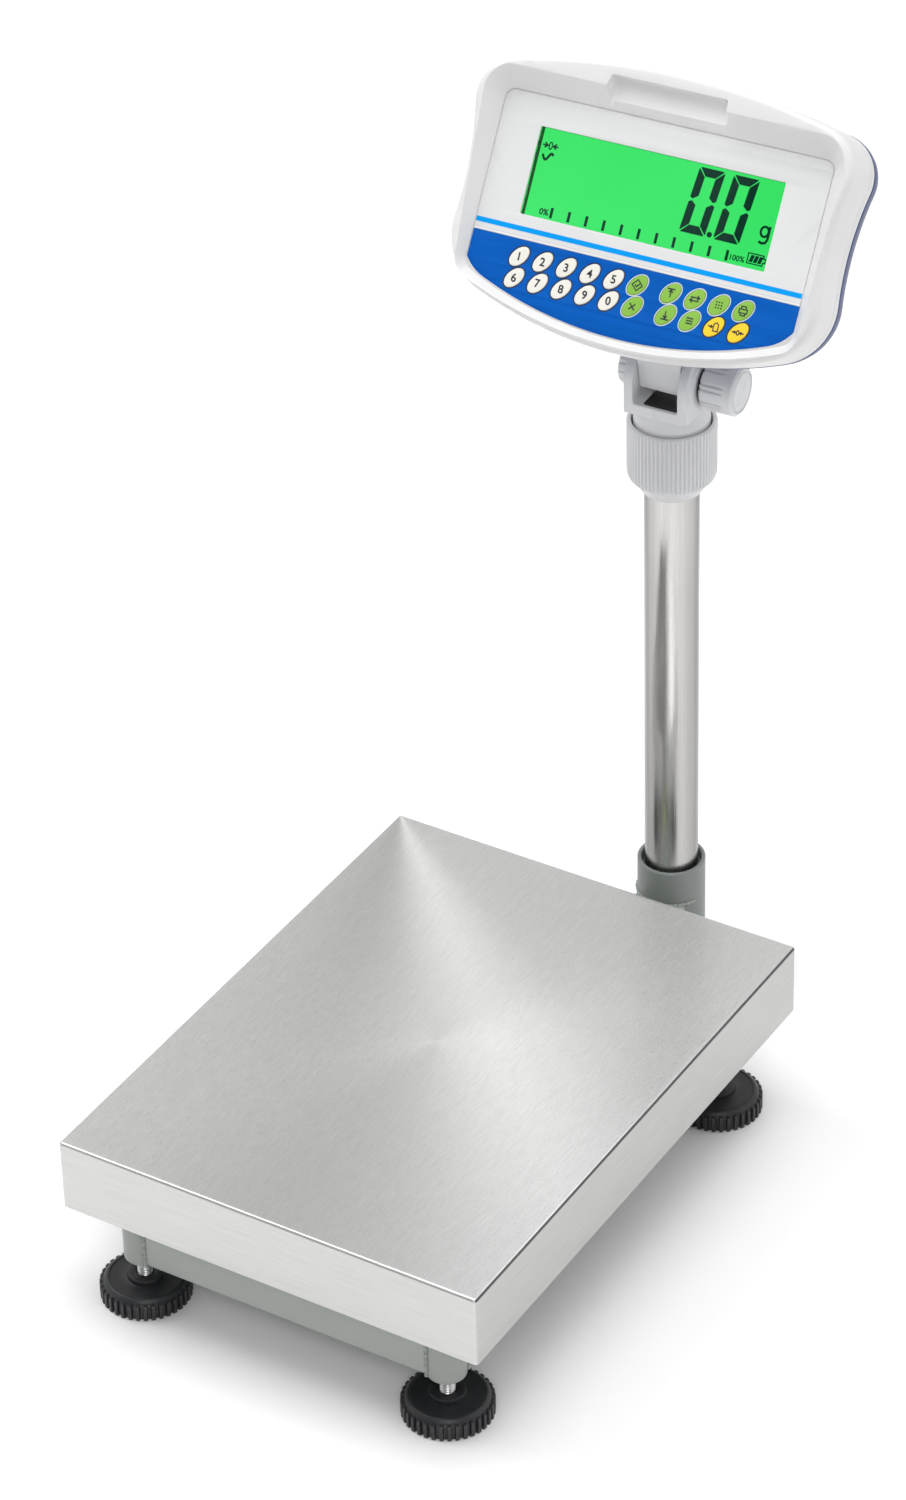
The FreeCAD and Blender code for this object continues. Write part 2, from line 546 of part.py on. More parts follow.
FACE_PLATE_TOP = -PANEL_THICKNESS
FACE_PLATE_BOTTOM = FACE_PLATE_TOP - SHELL_WALL
PARTING = -FRONT_SHELL_DEPTH
BACK = PARTING - REAR_SHELL_DEPTH
KEY_GAP = 0.35
SCREW_SPOTS = [(sx * 98.0, y) for sx in (-1, 1) for y in (42.0, -50.0)]


def face_recess(grow=0.0, floor=FACE_PLATE_TOP):
    """The hooded recess: upright for the panel's thickness, then sloping out to the rim."""
    slope_height = 20.0
    hood = Part.makeLoft([face_outline(grow, 0), face_outline(grow + slope_height, slope_height)], True)
    return slab(face_outline, floor, 0, grow).fuse(hood)


def make_head_front_shell():
    shell = slab(head_outline, PARTING, 30).common(under_rim())
    room = slab(head_outline, PARTING, 20, SHELL_WALL).common(under_rim(SHELL_WALL + 0.6))
    shell = shell.cut(room.cut(face_recess(SHELL_WALL, FACE_PLATE_BOTTOM)))
    shell = shell.cut(face_recess())
    grip = block((-39, 39), (55, 68), (6, 20))
    shell = shell.cut(grip)
    opening_x, opening_y = WINDOW_WIDTH / 2 + 1, WINDOW_HEIGHT / 2 + 1
    shell = shell.cut(block((-opening_x, opening_x), (-opening_y, opening_y),
                            (FACE_PLATE_BOTTOM - 1, FACE_PLATE_TOP + 1)))
    for x, y in key_spots().values():
        shell = shell.cut(key_slug(x, y, FACE_PLATE_BOTTOM - 1, FACE_PLATE_TOP + 1, KEY_GAP))
    bosses = [upright(5, PARTING, FACE_PLATE_BOTTOM, x, y).cut(upright(2, PARTING, PARTING + 14, x, y))
              for x, y in SCREW_SPOTS]
    return on_head(shell.fuse(bosses))


def make_head_rear_shell():
    outer = Part.makeLoft([head_outline(0.5, PARTING), head_outline(4, PARTING - 14),
                           head_outline(REAR_TAPER, BACK)], True, True)
    inner = Part.makeLoft([head_outline(0.5 + SHELL_WALL, PARTING),
                           head_outline(4 + SHELL_WALL, PARTING - 14 + SHELL_WALL),
                           head_outline(REAR_TAPER + SHELL_WALL, BACK + SHELL_WALL)], True, True)
    shell = outer.cut(inner)
    boss_height = SHELL_WALL + 1
    bosses = [upright(6.5, BACK + 1, PARTING, x, y) for x, y in SCREW_SPOTS]
    shell = shell.fuse(bosses)
    for x, y in SCREW_SPOTS:
        shell = shell.cut(upright(4.5, BACK - 1, PARTING - 8, x, y)).cut(upright(2.2, BACK, PARTING, x, y))
    shell = shell.cut(block((-76, -44), (-57, -43), (BACK - 1, BACK + boss_height)))
    return on_head(shell.cut(upright(6, BACK - 1, BACK + boss_height, 60, -50)))


def make_rear_screws():
    return on_head(group([upright(4, PARTING - 11, PARTING - 8, x, y)
                          .fuse(upright(2, PARTING - 8, PARTING + 12, x, y)) for x, y in SCREW_SPOTS]))


def make_head_tongue():
    """The arm that hangs in the fork: a pad on the rear shell, and a curved front plate with two cheeks.

    It is hollow and open at the back and below, and its cheeks turn on the tilt bolt.
    """
    half = FORK_WIDTH / 2 - EAR_THICKNESS - 0.5
    front = [(-29, 497), (-22.5, 480), (-18, 465), (-15, 449.5)]
    outer = [*front, (-9, 446.5), (12, 452), (8, 500), (-10, 520)]
    hollow = [(-25.5, 497), (-19.3, 480), (-14.8, 465), (-12, 440), (30, 440), (30, 497)]
    body = on_side(outer, half).fuse(on_pivot(rod(12, (-half, 0, 0), 2 * half, X)))
    body = body.cut(on_side(hollow, half - 3.2))
    behind = block((-40, 40), (-150, 60), (BACK, 60))
    pad = block((-30, 30), (-84, -40), (BACK - 5, BACK))
    tongue = body.cut(behind).fuse(pad).removeSplitter()
    return on_head(tongue.cut(on_pivot(rod(TILT_BOLT_RADIUS + RUNNING_GAP, (-half, 0, 0), 2 * half, X))))


def make_display_panel():
    panel = slab(face_outline, FACE_PLATE_TOP, 0, -0.2)
    panel = panel.common(block((-150, 150), (PANEL_BOTTOM, 100), (-5, 5)))
    window = block((-WINDOW_WIDTH / 2, WINDOW_WIDTH / 2), (-WINDOW_HEIGHT / 2, WINDOW_HEIGHT / 2), (-5, 5))
    return on_head(panel.cut(window))


def make_keypad_overlay():
    overlay = slab(face_outline, FACE_PLATE_TOP, 0, -0.2)
    overlay = overlay.common(block((-150, 150), (-100, KEYPAD_TOP), (-5, 5)))
    for x, y in key_spots().values():
        overlay = overlay.cut(key_slug(x, y, -5, 5, KEY_GAP))
    return on_head(overlay)


def make_lcd_window():
    half_x, half_y = WINDOW_WIDTH / 2 - 0.1, WINDOW_HEIGHT / 2 - 0.1
    return on_head(block((-half_x, half_x), (-half_y, half_y), (-2.3, -0.3)))


def make_lcd_module():
    """The display and its backlight, in a frame that holds it back from the window."""
    module = block((-90, 90), (-33, 33), (FACE_PLATE_BOTTOM - LCD_DEPTH - 10, FACE_PLATE_BOTTOM))
    half_x, half_y = WINDOW_WIDTH / 2, WINDOW_HEIGHT / 2
    return on_head(module.cut(block((-half_x, half_x), (-half_y, half_y),
                                    (FACE_PLATE_BOTTOM - LCD_DEPTH, FACE_PLATE_BOTTOM))))


def make_main_board():
    board = block((-85, 85), (-30, 32), (-19.6, -18))
    chips = [block((-40, -22), (-10, 8), (-21.5, -19.6)), block((20, 45), (5, 25), (-23, -19.6))]
    return on_head(board.fuse(chips))


def make_battery():
    return on_head(block((-50, 50), (-25, 45), (BACK + SHELL_WALL + 1, PARTING - 1)))


def make_serial_connector():
    """A nine-way data socket in the rear shell: a flange and its shield."""
    flange = block((-75.5, -44.5), (-56.5, -43.5), (BACK - 1.5, BACK + 3))
    shield = block((-68.5, -51.5), (-54, -46), (BACK - 6, BACK - 1.5))
    hollow = block((-67.7, -52.3), (-53.2, -46.8), (BACK - 6, BACK - 0.5))
    return on_head(flange.fuse(shield).cut(hollow))


def make_power_jack():
    jack = upright(5.9, BACK - 2, BACK + 12, 60, -50)
    jack = jack.cut(upright(2.75, BACK - 2, BACK + 8, 60, -50))
    return on_head(jack.fuse(upright(0.75, BACK - 1, BACK + 8, 60, -50)))


def make_key(x, y):
    return on_head(key_slug(x, y, FACE_PLATE_BOTTOM + 1.2, 0.35))


# ---------------------------------------------------------------- write the parts
def build_parts():
    parts = {
        "pan": make_pan(),
        "corner_posts": make_corner_posts(),
        "frame_rails": make_frame_rails(),
        "centre_beam": make_centre_beam(),
        "load_cell": make_load_cell(),
        "load_cell_spacers": make_load_cell_spacers(),
        "load_cell_bolts": make_load_cell_bolts(),
        "top_plate": make_top_plate(),
        "pan_buffers": make_pan_buffers(),
        "overload_stops": make_overload_stops(),
        "post_bracket": make_post_bracket(),
        "post_clamp_screws": make_post_clamp_screws(),
        "post_tube": make_post_tube(),
        "signal_cable": make_signal_cable(),
        "spirit_level": make_spirit_level(),
        "post_adapter": make_post_adapter(),
        "collar": make_collar(),
        "neck_fork": make_neck_fork(),
        "tilt_bolt": make_tilt_bolt(),
        "clamp_knob": make_clamp_knob(),
        "head_tongue": make_head_tongue(),
        "head_front_shell": make_head_front_shell(),
        "head_rear_shell": make_head_rear_shell(),
        "rear_screws": make_rear_screws(),
        "display_panel": make_display_panel(),
        "keypad_overlay": make_keypad_overlay(),
        "lcd_window": make_lcd_window(),
        "lcd_module": make_lcd_module(),
        "main_board": make_main_board(),
        "battery": make_battery(),
        "serial_connector": make_serial_connector(),
        "power_jack": make_power_jack(),
    }
    for corner, (x, y) in zip(CORNERS, corner_spots()):
        parts["foot_stud_" + CORNER_NAMES[corner]] = make_foot_stud(x, y)
        parts["foot_disc_" + CORNER_NAMES[corner]] = make_foot_disc(x, y)
    for name, (x, y) in key_spots().items():
        parts[name] = make_key(x, y)
    return parts


os.makedirs("parts", exist_ok=True)
for node, shape in build_parts().items():
    shape.exportStep(f"parts/{node}.step")
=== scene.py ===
"""Looks of the bench scale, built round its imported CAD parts.

Shapes are written in millimetres and become metres where a piece is made. Pieces of the head and its keys are
drawn in the face's own frame: x to the right, y up the face, and z out of it. Pieces of the fork and the knob
are drawn about the post's axis, square to the head. The rest is drawn in the frame that the parts share.
"""

import bmesh
import bpy
import math
from mathutils import Matrix, Vector


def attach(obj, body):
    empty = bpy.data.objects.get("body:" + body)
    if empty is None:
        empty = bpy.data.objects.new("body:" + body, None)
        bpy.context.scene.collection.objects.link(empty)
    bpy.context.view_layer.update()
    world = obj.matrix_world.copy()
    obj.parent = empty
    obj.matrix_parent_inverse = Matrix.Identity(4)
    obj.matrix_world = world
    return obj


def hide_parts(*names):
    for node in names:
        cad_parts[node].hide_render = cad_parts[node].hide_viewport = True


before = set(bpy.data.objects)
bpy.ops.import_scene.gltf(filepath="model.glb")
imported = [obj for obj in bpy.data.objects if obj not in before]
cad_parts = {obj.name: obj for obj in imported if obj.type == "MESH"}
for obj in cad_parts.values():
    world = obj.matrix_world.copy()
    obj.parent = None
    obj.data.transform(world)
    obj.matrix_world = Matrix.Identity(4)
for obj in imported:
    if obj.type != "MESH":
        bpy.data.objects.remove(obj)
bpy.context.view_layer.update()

MM = 0.001
PAN_Y, BASE_Y, POST_Y = -78.0, -80.0, 226.0
PAN_HALF_X, PAN_HALF_Y, PAN_LOW, PAN_TOP = 150.0, 200.0, 73.2, 124.0
FOOT_X, FOOT_Y = 111.0, 170.5                 # from the middle of the base
POST_RADIUS, FRAME_MIDDLE_Z = 18.0, 46
TILT_Z = 454.0                                # height of the tilt bolt
FACE_Y, FACE_Z, FACE_SLOPE = -28.7, 594.5, 32.9
PARTING, BACK = -28.0, -56.0                  # where the head's shells meet, and its rear face
FACE_HALF_WIDTH, FACE_TOP, KEYPAD_LOW = 112.8, 47.0, -89.6
WINDOW_X, WINDOW_Y = 84.0, 27.8               # half the display window
CORNERS = {"front_left": (-1, -1), "front_right": (1, -1), "rear_left": (-1, 1), "rear_right": (1, 1)}

at, turn_by = Matrix.Translation, Matrix.Rotation
AT_POST = at((0, POST_Y, 0))
NECK = AT_POST @ turn_by(math.radians(2.7), 4, "Z")
HEAD = NECK @ at((0, FACE_Y, FACE_Z)) @ turn_by(math.radians(90 - FACE_SLOPE), 4, "X")
ALONG_X = turn_by(math.radians(90), 4, "Y")
ALONG_Y = turn_by(math.radians(-90), 4, "X")
TILT_AXIS = at((0, 0, TILT_Z)) @ ALONG_X


# ---------------------------------------------------------------- materials
def new_material(name):
    """A new material, with its nodes, its links and its main shader."""
    made = bpy.data.materials.new(name)
    made.use_nodes = True
    nodes = made.node_tree.nodes
    return made, nodes, made.node_tree.links, nodes["Principled BSDF"]


def ramp_of(nodes, links, source, first, last):
    """The colour that a value gives, between two (position, colour) ends."""
    ramp = nodes.new("ShaderNodeValToRGB")
    for element, (position, colour) in zip(ramp.color_ramp.elements, (first, last)):
        element.position, element.color = position, (*colour, 1)
    links.new(source, ramp.inputs["Fac"])
    return ramp.outputs["Color"]


def range_of(nodes, links, source, start, end, low=0.0, high=1.0):
    """A value taken from the range start to end into the range low to high."""
    change = nodes.new("ShaderNodeMapRange")
    for name, value in (("From Min", start), ("From Max", end), ("To Min", low), ("To Max", high)):
        change.inputs[name].default_value = value
    links.new(source, change.inputs["Value"])
    return change.outputs["Result"]


def dimmed(made, nodes, links, factor):
    """Multiplies the colour of a material by a factor."""
    base = made.node_tree.nodes["Principled BSDF"].inputs["Base Color"]
    mix = nodes.new("ShaderNodeMix")
    mix.data_type, mix.blend_type = "RGBA", "MULTIPLY"
    mix.inputs["Factor"].default_value = 1.0
    links.new(base.links[0].from_socket, mix.inputs["A"])
    links.new(factor, mix.inputs["B"])
    links.new(mix.outputs["Result"], base)
    return made


def material(name, tint, other, rough, rough_spread=0.08, metal=0.0, scale=(60, 60, 60), grain=400.0,
             grain_depth=0.02, grain_stretch=(1, 1, 1), coat=0.0, anisotropic=0.0, specular=0.5, wear=None):
    """A procedural finish: two tints mixed by broad noise, fine grain in roughness and relief, worn edges."""
    made, nodes, links, shader = new_material(name)
    for socket, value in (("Metallic", metal), ("Coat Weight", coat), ("Coat Roughness", 0.12),
                          ("Anisotropic", anisotropic), ("Specular IOR Level", specular)):
        shader.inputs[socket].default_value = value
    place = nodes.new("ShaderNodeTexCoord")

    def noise(stretch, size, detail):
        mapping = nodes.new("ShaderNodeMapping")
        mapping.inputs["Scale"].default_value = stretch
        links.new(place.outputs["Object"], mapping.inputs["Vector"])
        texture = nodes.new("ShaderNodeTexNoise")
        texture.inputs["Scale"].default_value = size
        texture.inputs["Detail"].default_value = detail
        links.new(mapping.outputs["Vector"], texture.inputs["Vector"])
        return texture.outputs["Fac"]

    broad, fine = noise(scale, 1.0, 4.0), noise(grain_stretch, grain, 3.0)
    colour = ramp_of(nodes, links, broad, (0.35, tint), (0.65, other))
    if wear:
        geometry, mix = nodes.new("ShaderNodeNewGeometry"), nodes.new("ShaderNodeMix")
        mix.data_type = "RGBA"
        edges = range_of(nodes, links, geometry.outputs["Pointiness"], 0.53, 0.62)
        links.new(edges, mix.inputs["Factor"])
        links.new(colour, mix.inputs["A"])
        mix.inputs["B"].default_value = (*wear, 1)
        colour = mix.outputs["Result"]
    links.new(colour, shader.inputs["Base Color"])
    gloss = range_of(nodes, links, fine, 0.3, 0.7, rough - rough_spread, rough + rough_spread)
    links.new(gloss, shader.inputs["Roughness"])
    relief = nodes.new("ShaderNodeBump")
    relief.inputs["Strength"].default_value = 0.5
    relief.inputs["Distance"].default_value = grain_depth * MM
    links.new(fine, relief.inputs["Height"])
    links.new(relief.outputs["Normal"], shader.inputs["Normal"])
    return made


def lit(name, low, high):
    """A backlit display: a glow of two mixed tints that takes no light from outside."""
    made, nodes, links, shader = new_material(name)
    shader.inputs["Base Color"].default_value = (0, 0, 0, 1)
    for socket, value in (("Roughness", 0.5), ("Specular IOR Level", 0.0), ("Emission Strength", 1.0)):
        shader.inputs[socket].default_value = value
    place, texture = nodes.new("ShaderNodeTexCoord"), nodes.new("ShaderNodeTexNoise")
    texture.inputs["Scale"].default_value = 9.0
    links.new(place.outputs["Object"], texture.inputs["Vector"])
    links.new(ramp_of(nodes, links, texture.outputs["Fac"], (0.3, low), (0.7, high)),
              shader.inputs["Emission Color"])
    return made


def clear(name):
    """Clear window: seen through almost everywhere, with a sheen that grows at a glancing angle."""
    made, nodes, links, shader = new_material(name)
    nodes.remove(shader)
    through, sheen = nodes.new("ShaderNodeBsdfTransparent"), nodes.new("ShaderNodeBsdfGlossy")
    fresnel, mix = nodes.new("ShaderNodeFresnel"), nodes.new("ShaderNodeMixShader")
    sheen.inputs["Roughness"].default_value = 0.08
    texture = nodes.new("ShaderNodeTexNoise")
    texture.inputs["Scale"].default_value = 30.0
    links.new(ramp_of(nodes, links, texture.outputs["Fac"], (0.0, (0.95, 1, 0.96)), (1.0, (1, 1, 1))),
              through.inputs["Color"])
    fresnel.inputs["IOR"].default_value = 1.3
    links.new(fresnel.outputs["Fac"], mix.inputs["Fac"])
    links.new(through.outputs["BSDF"], mix.inputs[1])
    links.new(sheen.outputs["BSDF"], mix.inputs[2])
    links.new(mix.outputs["Shader"], nodes["Material Output"].inputs["Surface"])
    return made


def painted_sheen(made, corner, stops):
    """Painted sheen and shade in a fan from one corner: stops are (direction, strength) from it."""
    nodes, links = made.node_tree.nodes, made.node_tree.links
    place, split = nodes.new("ShaderNodeTexCoord"), nodes.new("ShaderNodeSeparateXYZ")
    links.new(place.outputs["Object"], split.inputs["Vector"])

    def maths(operation, first, second):
        step = nodes.new("ShaderNodeMath")
        step.operation = operation
        for socket, value in zip(step.inputs, (first, second)):
            if isinstance(value, float):
                socket.default_value = value
            else:
                links.new(value, socket)
        return step.outputs[0]

    across = maths("SUBTRACT", split.outputs["X"], corner[0])
    along = maths("SUBTRACT", corner[1], split.outputs["Y"])
    share = maths("DIVIDE", maths("ARCTAN2", along, across), math.pi / 2)
    ramp = nodes.new("ShaderNodeValToRGB")
    ramp.color_ramp.interpolation = "B_SPLINE"
    while len(ramp.color_ramp.elements) < len(stops):
        ramp.color_ramp.elements.new(0.5)
    for element, (degrees, strength) in zip(ramp.color_ramp.elements, stops):
        element.position, element.color = degrees / 90, (strength, strength, strength, 1)
    links.new(share, ramp.inputs["Fac"])
    return dimmed(made, nodes, links, ramp.outputs["Color"])


def painted_edge_shade(made, strength):
    """Painted shade: a curved wall's colour darkens towards its outline."""
    nodes, links = made.node_tree.nodes, made.node_tree.links
    facing = nodes.new("ShaderNodeLayerWeight")
    facing.inputs["Blend"].default_value = 0.5
    return dimmed(made, nodes, links, ramp_of(nodes, links, facing.outputs["Facing"], (0.08, (1, 1, 1)),
                                              (0.62, (strength,) * 3)))


def plastic(name, tint, other, rough, **more):
    return material(name, tint, other, rough, scale=(14, 14, 14), grain=1500.0, **more)


def brushed(name, tint, other, rough, stretch, depth=0.02, anisotropic=0.5):
    return material(name, tint, other, rough, rough_spread=0.07, metal=1.0,
                    scale=tuple(s * 0.4 for s in stretch),
                    grain=1.0, grain_stretch=stretch, grain_depth=depth, anisotropic=anisotropic)


def plain_name(made):
    """A material's name, without the number that Blender adds when the name is taken."""
    return made.name.split(".")[0]


ALONG_PAN_FRONT, ALONG_PAN_SIDE, SHEEN_CORNER = (60, 900, 2600), (900, 60, 2600), (-0.150, 0.122)
SHEEN_STOPS = [(4, 0.72), (30, 0.72), (41, 0.98), (48, 0.98), (58, 0.66), (70, 0.54), (88, 0.64)]
FINISH = {plain_name(made): made for made in (
    # Painted sheen and shade on the pan's top, lighter and darker in a fan from its rear left corner.
    painted_sheen(brushed("pan_top", (0.90, 0.90, 0.885), (0.98, 0.98, 0.965), 0.32, (3600, 200, 900), 0.003),
        SHEEN_CORNER, SHEEN_STOPS),
    # Painted shade: the pan's skirts are darker copies of its brushed steel, front and rear skirts apart from
    # side skirts.
    brushed("pan_front_shaded", (0.58, 0.58, 0.57), (0.63, 0.63, 0.62), 0.38, ALONG_PAN_FRONT, 0.012),
    # Painted shade: a near-black copy for the bend along the pan's right top edge.
    brushed("pan_bend_painted_shade", (0.12, 0.12, 0.12), (0.15, 0.15, 0.15), 0.40, ALONG_PAN_SIDE, 0.008),
    brushed("pan_side_shaded", (0.50, 0.50, 0.49), (0.55, 0.55, 0.54), 0.36, ALONG_PAN_SIDE, 0.012),
    # Painted shade on the post's tube: its colour darkens towards its outline.
    painted_edge_shade(brushed("post_steel", (0.62, 0.61, 0.60), (0.68, 0.67, 0.66), 0.24, (700, 700, 12), 0.004,
        0.3), 0.42),
    plastic("frame_paint", (0.30, 0.325, 0.305), (0.325, 0.35, 0.33), 0.42, grain_depth=0.03,
        wear=(0.36, 0.385, 0.365)),
    plastic("socket_paint", (0.19, 0.21, 0.20), (0.215, 0.235, 0.225), 0.40, grain_depth=0.03,
        wear=(0.27, 0.29, 0.28)),
    brushed("cell_aluminium", (0.62, 0.62, 0.63), (0.70, 0.70, 0.71), 0.35, (700, 30, 700)),
    material("zinc_steel", (0.52, 0.53, 0.54), (0.64, 0.64, 0.62), 0.30, metal=1.0, scale=(180, 180, 180)),
    plastic("buffer_rubber", (0.025, 0.025, 0.025), (0.04, 0.04, 0.04), 0.75, grain_depth=0.05),
    plastic("cable_sheath", (0.03, 0.03, 0.033), (0.05, 0.05, 0.054), 0.55),
    plastic("level_plastic", (0.52, 0.66, 0.16), (0.60, 0.74, 0.22), 0.18, coat=0.6),
    plastic("foot_plastic", (0.013, 0.014, 0.016), (0.020, 0.021, 0.024), 0.42, grain_depth=0.05,
        wear=(0.05, 0.052, 0.056)),
    plastic("bracket_plastic", (0.66, 0.665, 0.68), (0.70, 0.705, 0.72), 0.42, grain_depth=0.03,
        wear=(0.62, 0.625, 0.63)),
    plastic("housing_plastic", (0.70, 0.70, 0.70), (0.73, 0.73, 0.73), 0.34, grain_depth=0.02,
        wear=(0.88, 0.88, 0.88)),
    plastic("rear_plastic", (0.004, 0.022, 0.115), (0.006, 0.030, 0.150), 0.38, grain_depth=0.03,
        wear=(0.02, 0.06, 0.22)),
    plastic("panel_film", (0.67, 0.675, 0.68), (0.70, 0.705, 0.71), 0.46, grain_depth=0.015, specular=0.25),
    plastic("keypad_film", (0.0, 0.095, 0.44), (0.0, 0.105, 0.48), 0.5, grain_depth=0.015, specular=0.1),
    plastic("stripe_ink", (0.0, 0.30, 0.80), (0.0, 0.33, 0.85), 0.5, grain_depth=0.01, specular=0.1),
    plastic("dark_ink", (0.012, 0.014, 0.03), (0.02, 0.022, 0.04), 0.5, grain_depth=0.01),
    plastic("pale_ink", (0.62, 0.70, 0.66), (0.68, 0.76, 0.72), 0.45, grain_depth=0.01),
    clear("lcd_glass"),
    plastic("lcd_frame", (0.006, 0.020, 0.012), (0.010, 0.030, 0.018), 0.5),
    lit("lcd_backlight", (0.040, 0.78, 0.135), (0.052, 0.84, 0.165)),
    lit("lcd_ink", (0.001, 0.030, 0.018), (0.002, 0.040, 0.024)),
    plastic("circuit_board", (0.02, 0.16, 0.06), (0.03, 0.20, 0.08), 0.4),
    plastic("battery_case", (0.06, 0.06, 0.07), (0.09, 0.09, 0.10), 0.5),
    material("connector_shell", (0.50, 0.50, 0.49), (0.60, 0.60, 0.58), 0.28, metal=1.0),
    plastic("black_plastic", (0.012, 0.012, 0.012), (0.02, 0.02, 0.02), 0.45),
    plastic("key_white", (0.80, 0.78, 0.71), (0.83, 0.81, 0.745), 0.40, grain_depth=0.015),
    plastic("key_green", (0.235, 0.485, 0.058), (0.255, 0.515, 0.070), 0.40, grain_depth=0.015),
    plastic("key_yellow", (0.93, 0.61, 0.025), (0.96, 0.65, 0.035), 0.40, grain_depth=0.015),
)}


# ---------------------------------------------------------------- shapes: (points, faces)
def merged(*shapes):
    points, faces = [], []
    for shape in shapes:
        start = len(points)
        points += shape[0]
        faces += [tuple(i + start for i in face) for face in shape[1]]
    return points, faces


def moved(shape, place):
    return [tuple(place @ Vector(p)) for p in shape[0]], shape[1]


def softened(outline, radius=0.5, steps=3, closed=False):
    """Rounds the corners of a flat line of points; a third number on a point is that corner's own radius."""
    made, count = [], len(outline)
    for i, point in enumerate(outline):
        here, bend = Vector(point[:2]), point[2] if len(point) > 2 else radius
        back, on = Vector(outline[i - 1][:2]) - here, Vector(outline[(i + 1) % count][:2]) - here
        if bend <= 0 or (not closed and i in (0, count - 1)) or back.angle(on) > math.pi - 0.04:
            made.append(tuple(here))
            continue
        half = back.angle(on) / 2
        reach = min(bend / math.tan(half), 0.46 * back.length, 0.46 * on.length)
        bend = reach * math.tan(half)
        centre = here + (back.normalized() + on.normalized()).normalized() * bend / math.sin(half)
        first, last = here + back.normalized() * reach - centre, here + on.normalized() * reach - centre
        made += [tuple(centre + first.lerp(last, k / steps).normalized() * bend) for k in range(steps + 1)]
    return made


def loft(rings, closed=False, caps=True):
    """Quads between closed rings that have the same number of points."""
    count, faces = len(rings[0]), []
    for r in range(len(rings) if closed else len(rings) - 1):
        a, b = r * count, (r + 1) % len(rings) * count
        faces += [(a + i, a + (i + 1) % count, b + (i + 1) % count, b + i) for i in range(count)]
    if caps and not closed:
        faces += [tuple(range(count))[::-1], tuple(range(len(rings) * count - count, len(rings) * count))]
    return [tuple(p) for ring in rings for p in ring], faces


def turned(profile, count=64, closed=False, radius=None):
    """A turned shape about Z from (radius, height) points. radius(angle, r, z) may change it."""
    rings = []
    for r, z in profile:
        angles = [2 * math.pi * i / count for i in range(count)]
        radii = [radius(a, r, z) if radius else r for a in angles]
        rings.append([(q * math.cos(a), q * math.sin(a), z) for q, a in zip(radii, angles)])
    return loft(rings, closed)


def box(x, y, z):
    points = [(a, b, c) for a in x for b in y for c in z]
    return points, [(0, 1, 3, 2), (4, 6, 7, 5), (0, 4, 5, 1), (2, 3, 7, 6), (0, 2, 6, 4), (1, 5, 7, 3)]


def prism(outline, low, high):
    return loft([[(*p[:2], z) for p in outline] for z in (low, high)])


def edited(shape, change):
    """Runs change(bm) on a shape as a bmesh."""
    bm = bmesh.new()
    points = [bm.verts.new(p) for p in shape[0]]
    for face in shape[1]:
        bm.faces.new([points[i] for i in face])
    bmesh.ops.recalc_face_normals(bm, faces=bm.faces)
    change(bm)
    bm.verts.index_update()
    made = [tuple(v.co) for v in bm.verts], [tuple(v.index for v in f.verts) for f in bm.faces]
    bm.free()
    return made


def bevelled(shape, width, segments=2, angle=30, where=lambda edge: True):
    def change(bm):
        sharp = [e for e in bm.edges if len(e.link_faces) == 2
                 and e.calc_face_angle() > math.radians(angle) and where(e)]
        bmesh.ops.bevel(bm, geom=sharp, offset=width, segments=segments, affect="EDGES", profile=0.5,
                        clamp_overlap=True)
    return edited(shape, change)


def linked(thing):
    bpy.context.scene.collection.objects.link(thing)
    return thing


def shape_of(thing):
    """The shape of a curve or text object, or of a mesh object with its modifiers. It removes the object."""
    linked(thing)
    bpy.context.view_layer.update()
    data = thing.evaluated_get(bpy.context.evaluated_depsgraph_get()).to_mesh()
    made = [tuple(v.co) for v in data.vertices], [tuple(f.vertices) for f in data.polygons]
    bpy.data.objects.remove(thing)
    return made


def flat(outlines, low, high, edge=0.0):
    """A flat sheet with holes, from outlines of points, with a small bevel of its edges."""
    curve = bpy.data.curves.new("outline", "CURVE")
    curve.dimensions, curve.fill_mode = "2D", "BOTH"
    for outline in outlines:
        spline = curve.splines.new("POLY")
        spline.points.add(len(outline) - 1)
        for point, place in zip(spline.points, outline):
            point.co = (*place[:2], 0, 1)
        spline.use_cyclic_u = True
    curve.bevel_depth, curve.bevel_resolution, curve.offset = edge, 1, -edge
    curve.extrude = (high - low) / 2 - edge
    return moved(shape_of(bpy.data.objects.new("outline", curve)), at((0, 0, (low + high) / 2)))


def letters(text, size, x, y, low, thick=0.06, weight=0.0):
    """A printed figure, centred on (x, y)."""
    curve = bpy.data.curves.new("text", "FONT")
    curve.body, curve.size, curve.extrude, curve.offset = text, size, thick / 2, weight
    made = shape_of(bpy.data.objects.new("text", curve))
    xs, ys = [p[0] for p in made[0]], [p[1] for p in made[0]]
    middle = Vector(((min(xs) + max(xs)) / 2, (min(ys) + max(ys)) / 2, -thick / 2))
    return moved(made, at((x, y, low)) @ at(-middle))


def stroke(points, width, closed=False):
    """The outline or outlines of a drawn line of even width."""
    count, sides = len(points), ([], [])
    for i, point in enumerate(points):
        here = Vector(point)
        before = Vector(points[i - 1]) if i or closed else None
        after = Vector(points[(i + 1) % count]) if i < count - 1 or closed else None
        u = (here - before).normalized() if before else (after - here).normalized()
        v = (after - here).normalized() if after else u
        across = Vector((-(u + v).y, (u + v).x)).normalized()
        reach = width / 2 / max(0.4, across.dot(Vector((-u.y, u.x))))
        sides[0].append(tuple(here + across * reach))
        sides[1].append(tuple(here - across * reach))
    return [sides[0], sides[1]] if closed else [sides[0] + sides[1][::-1]]


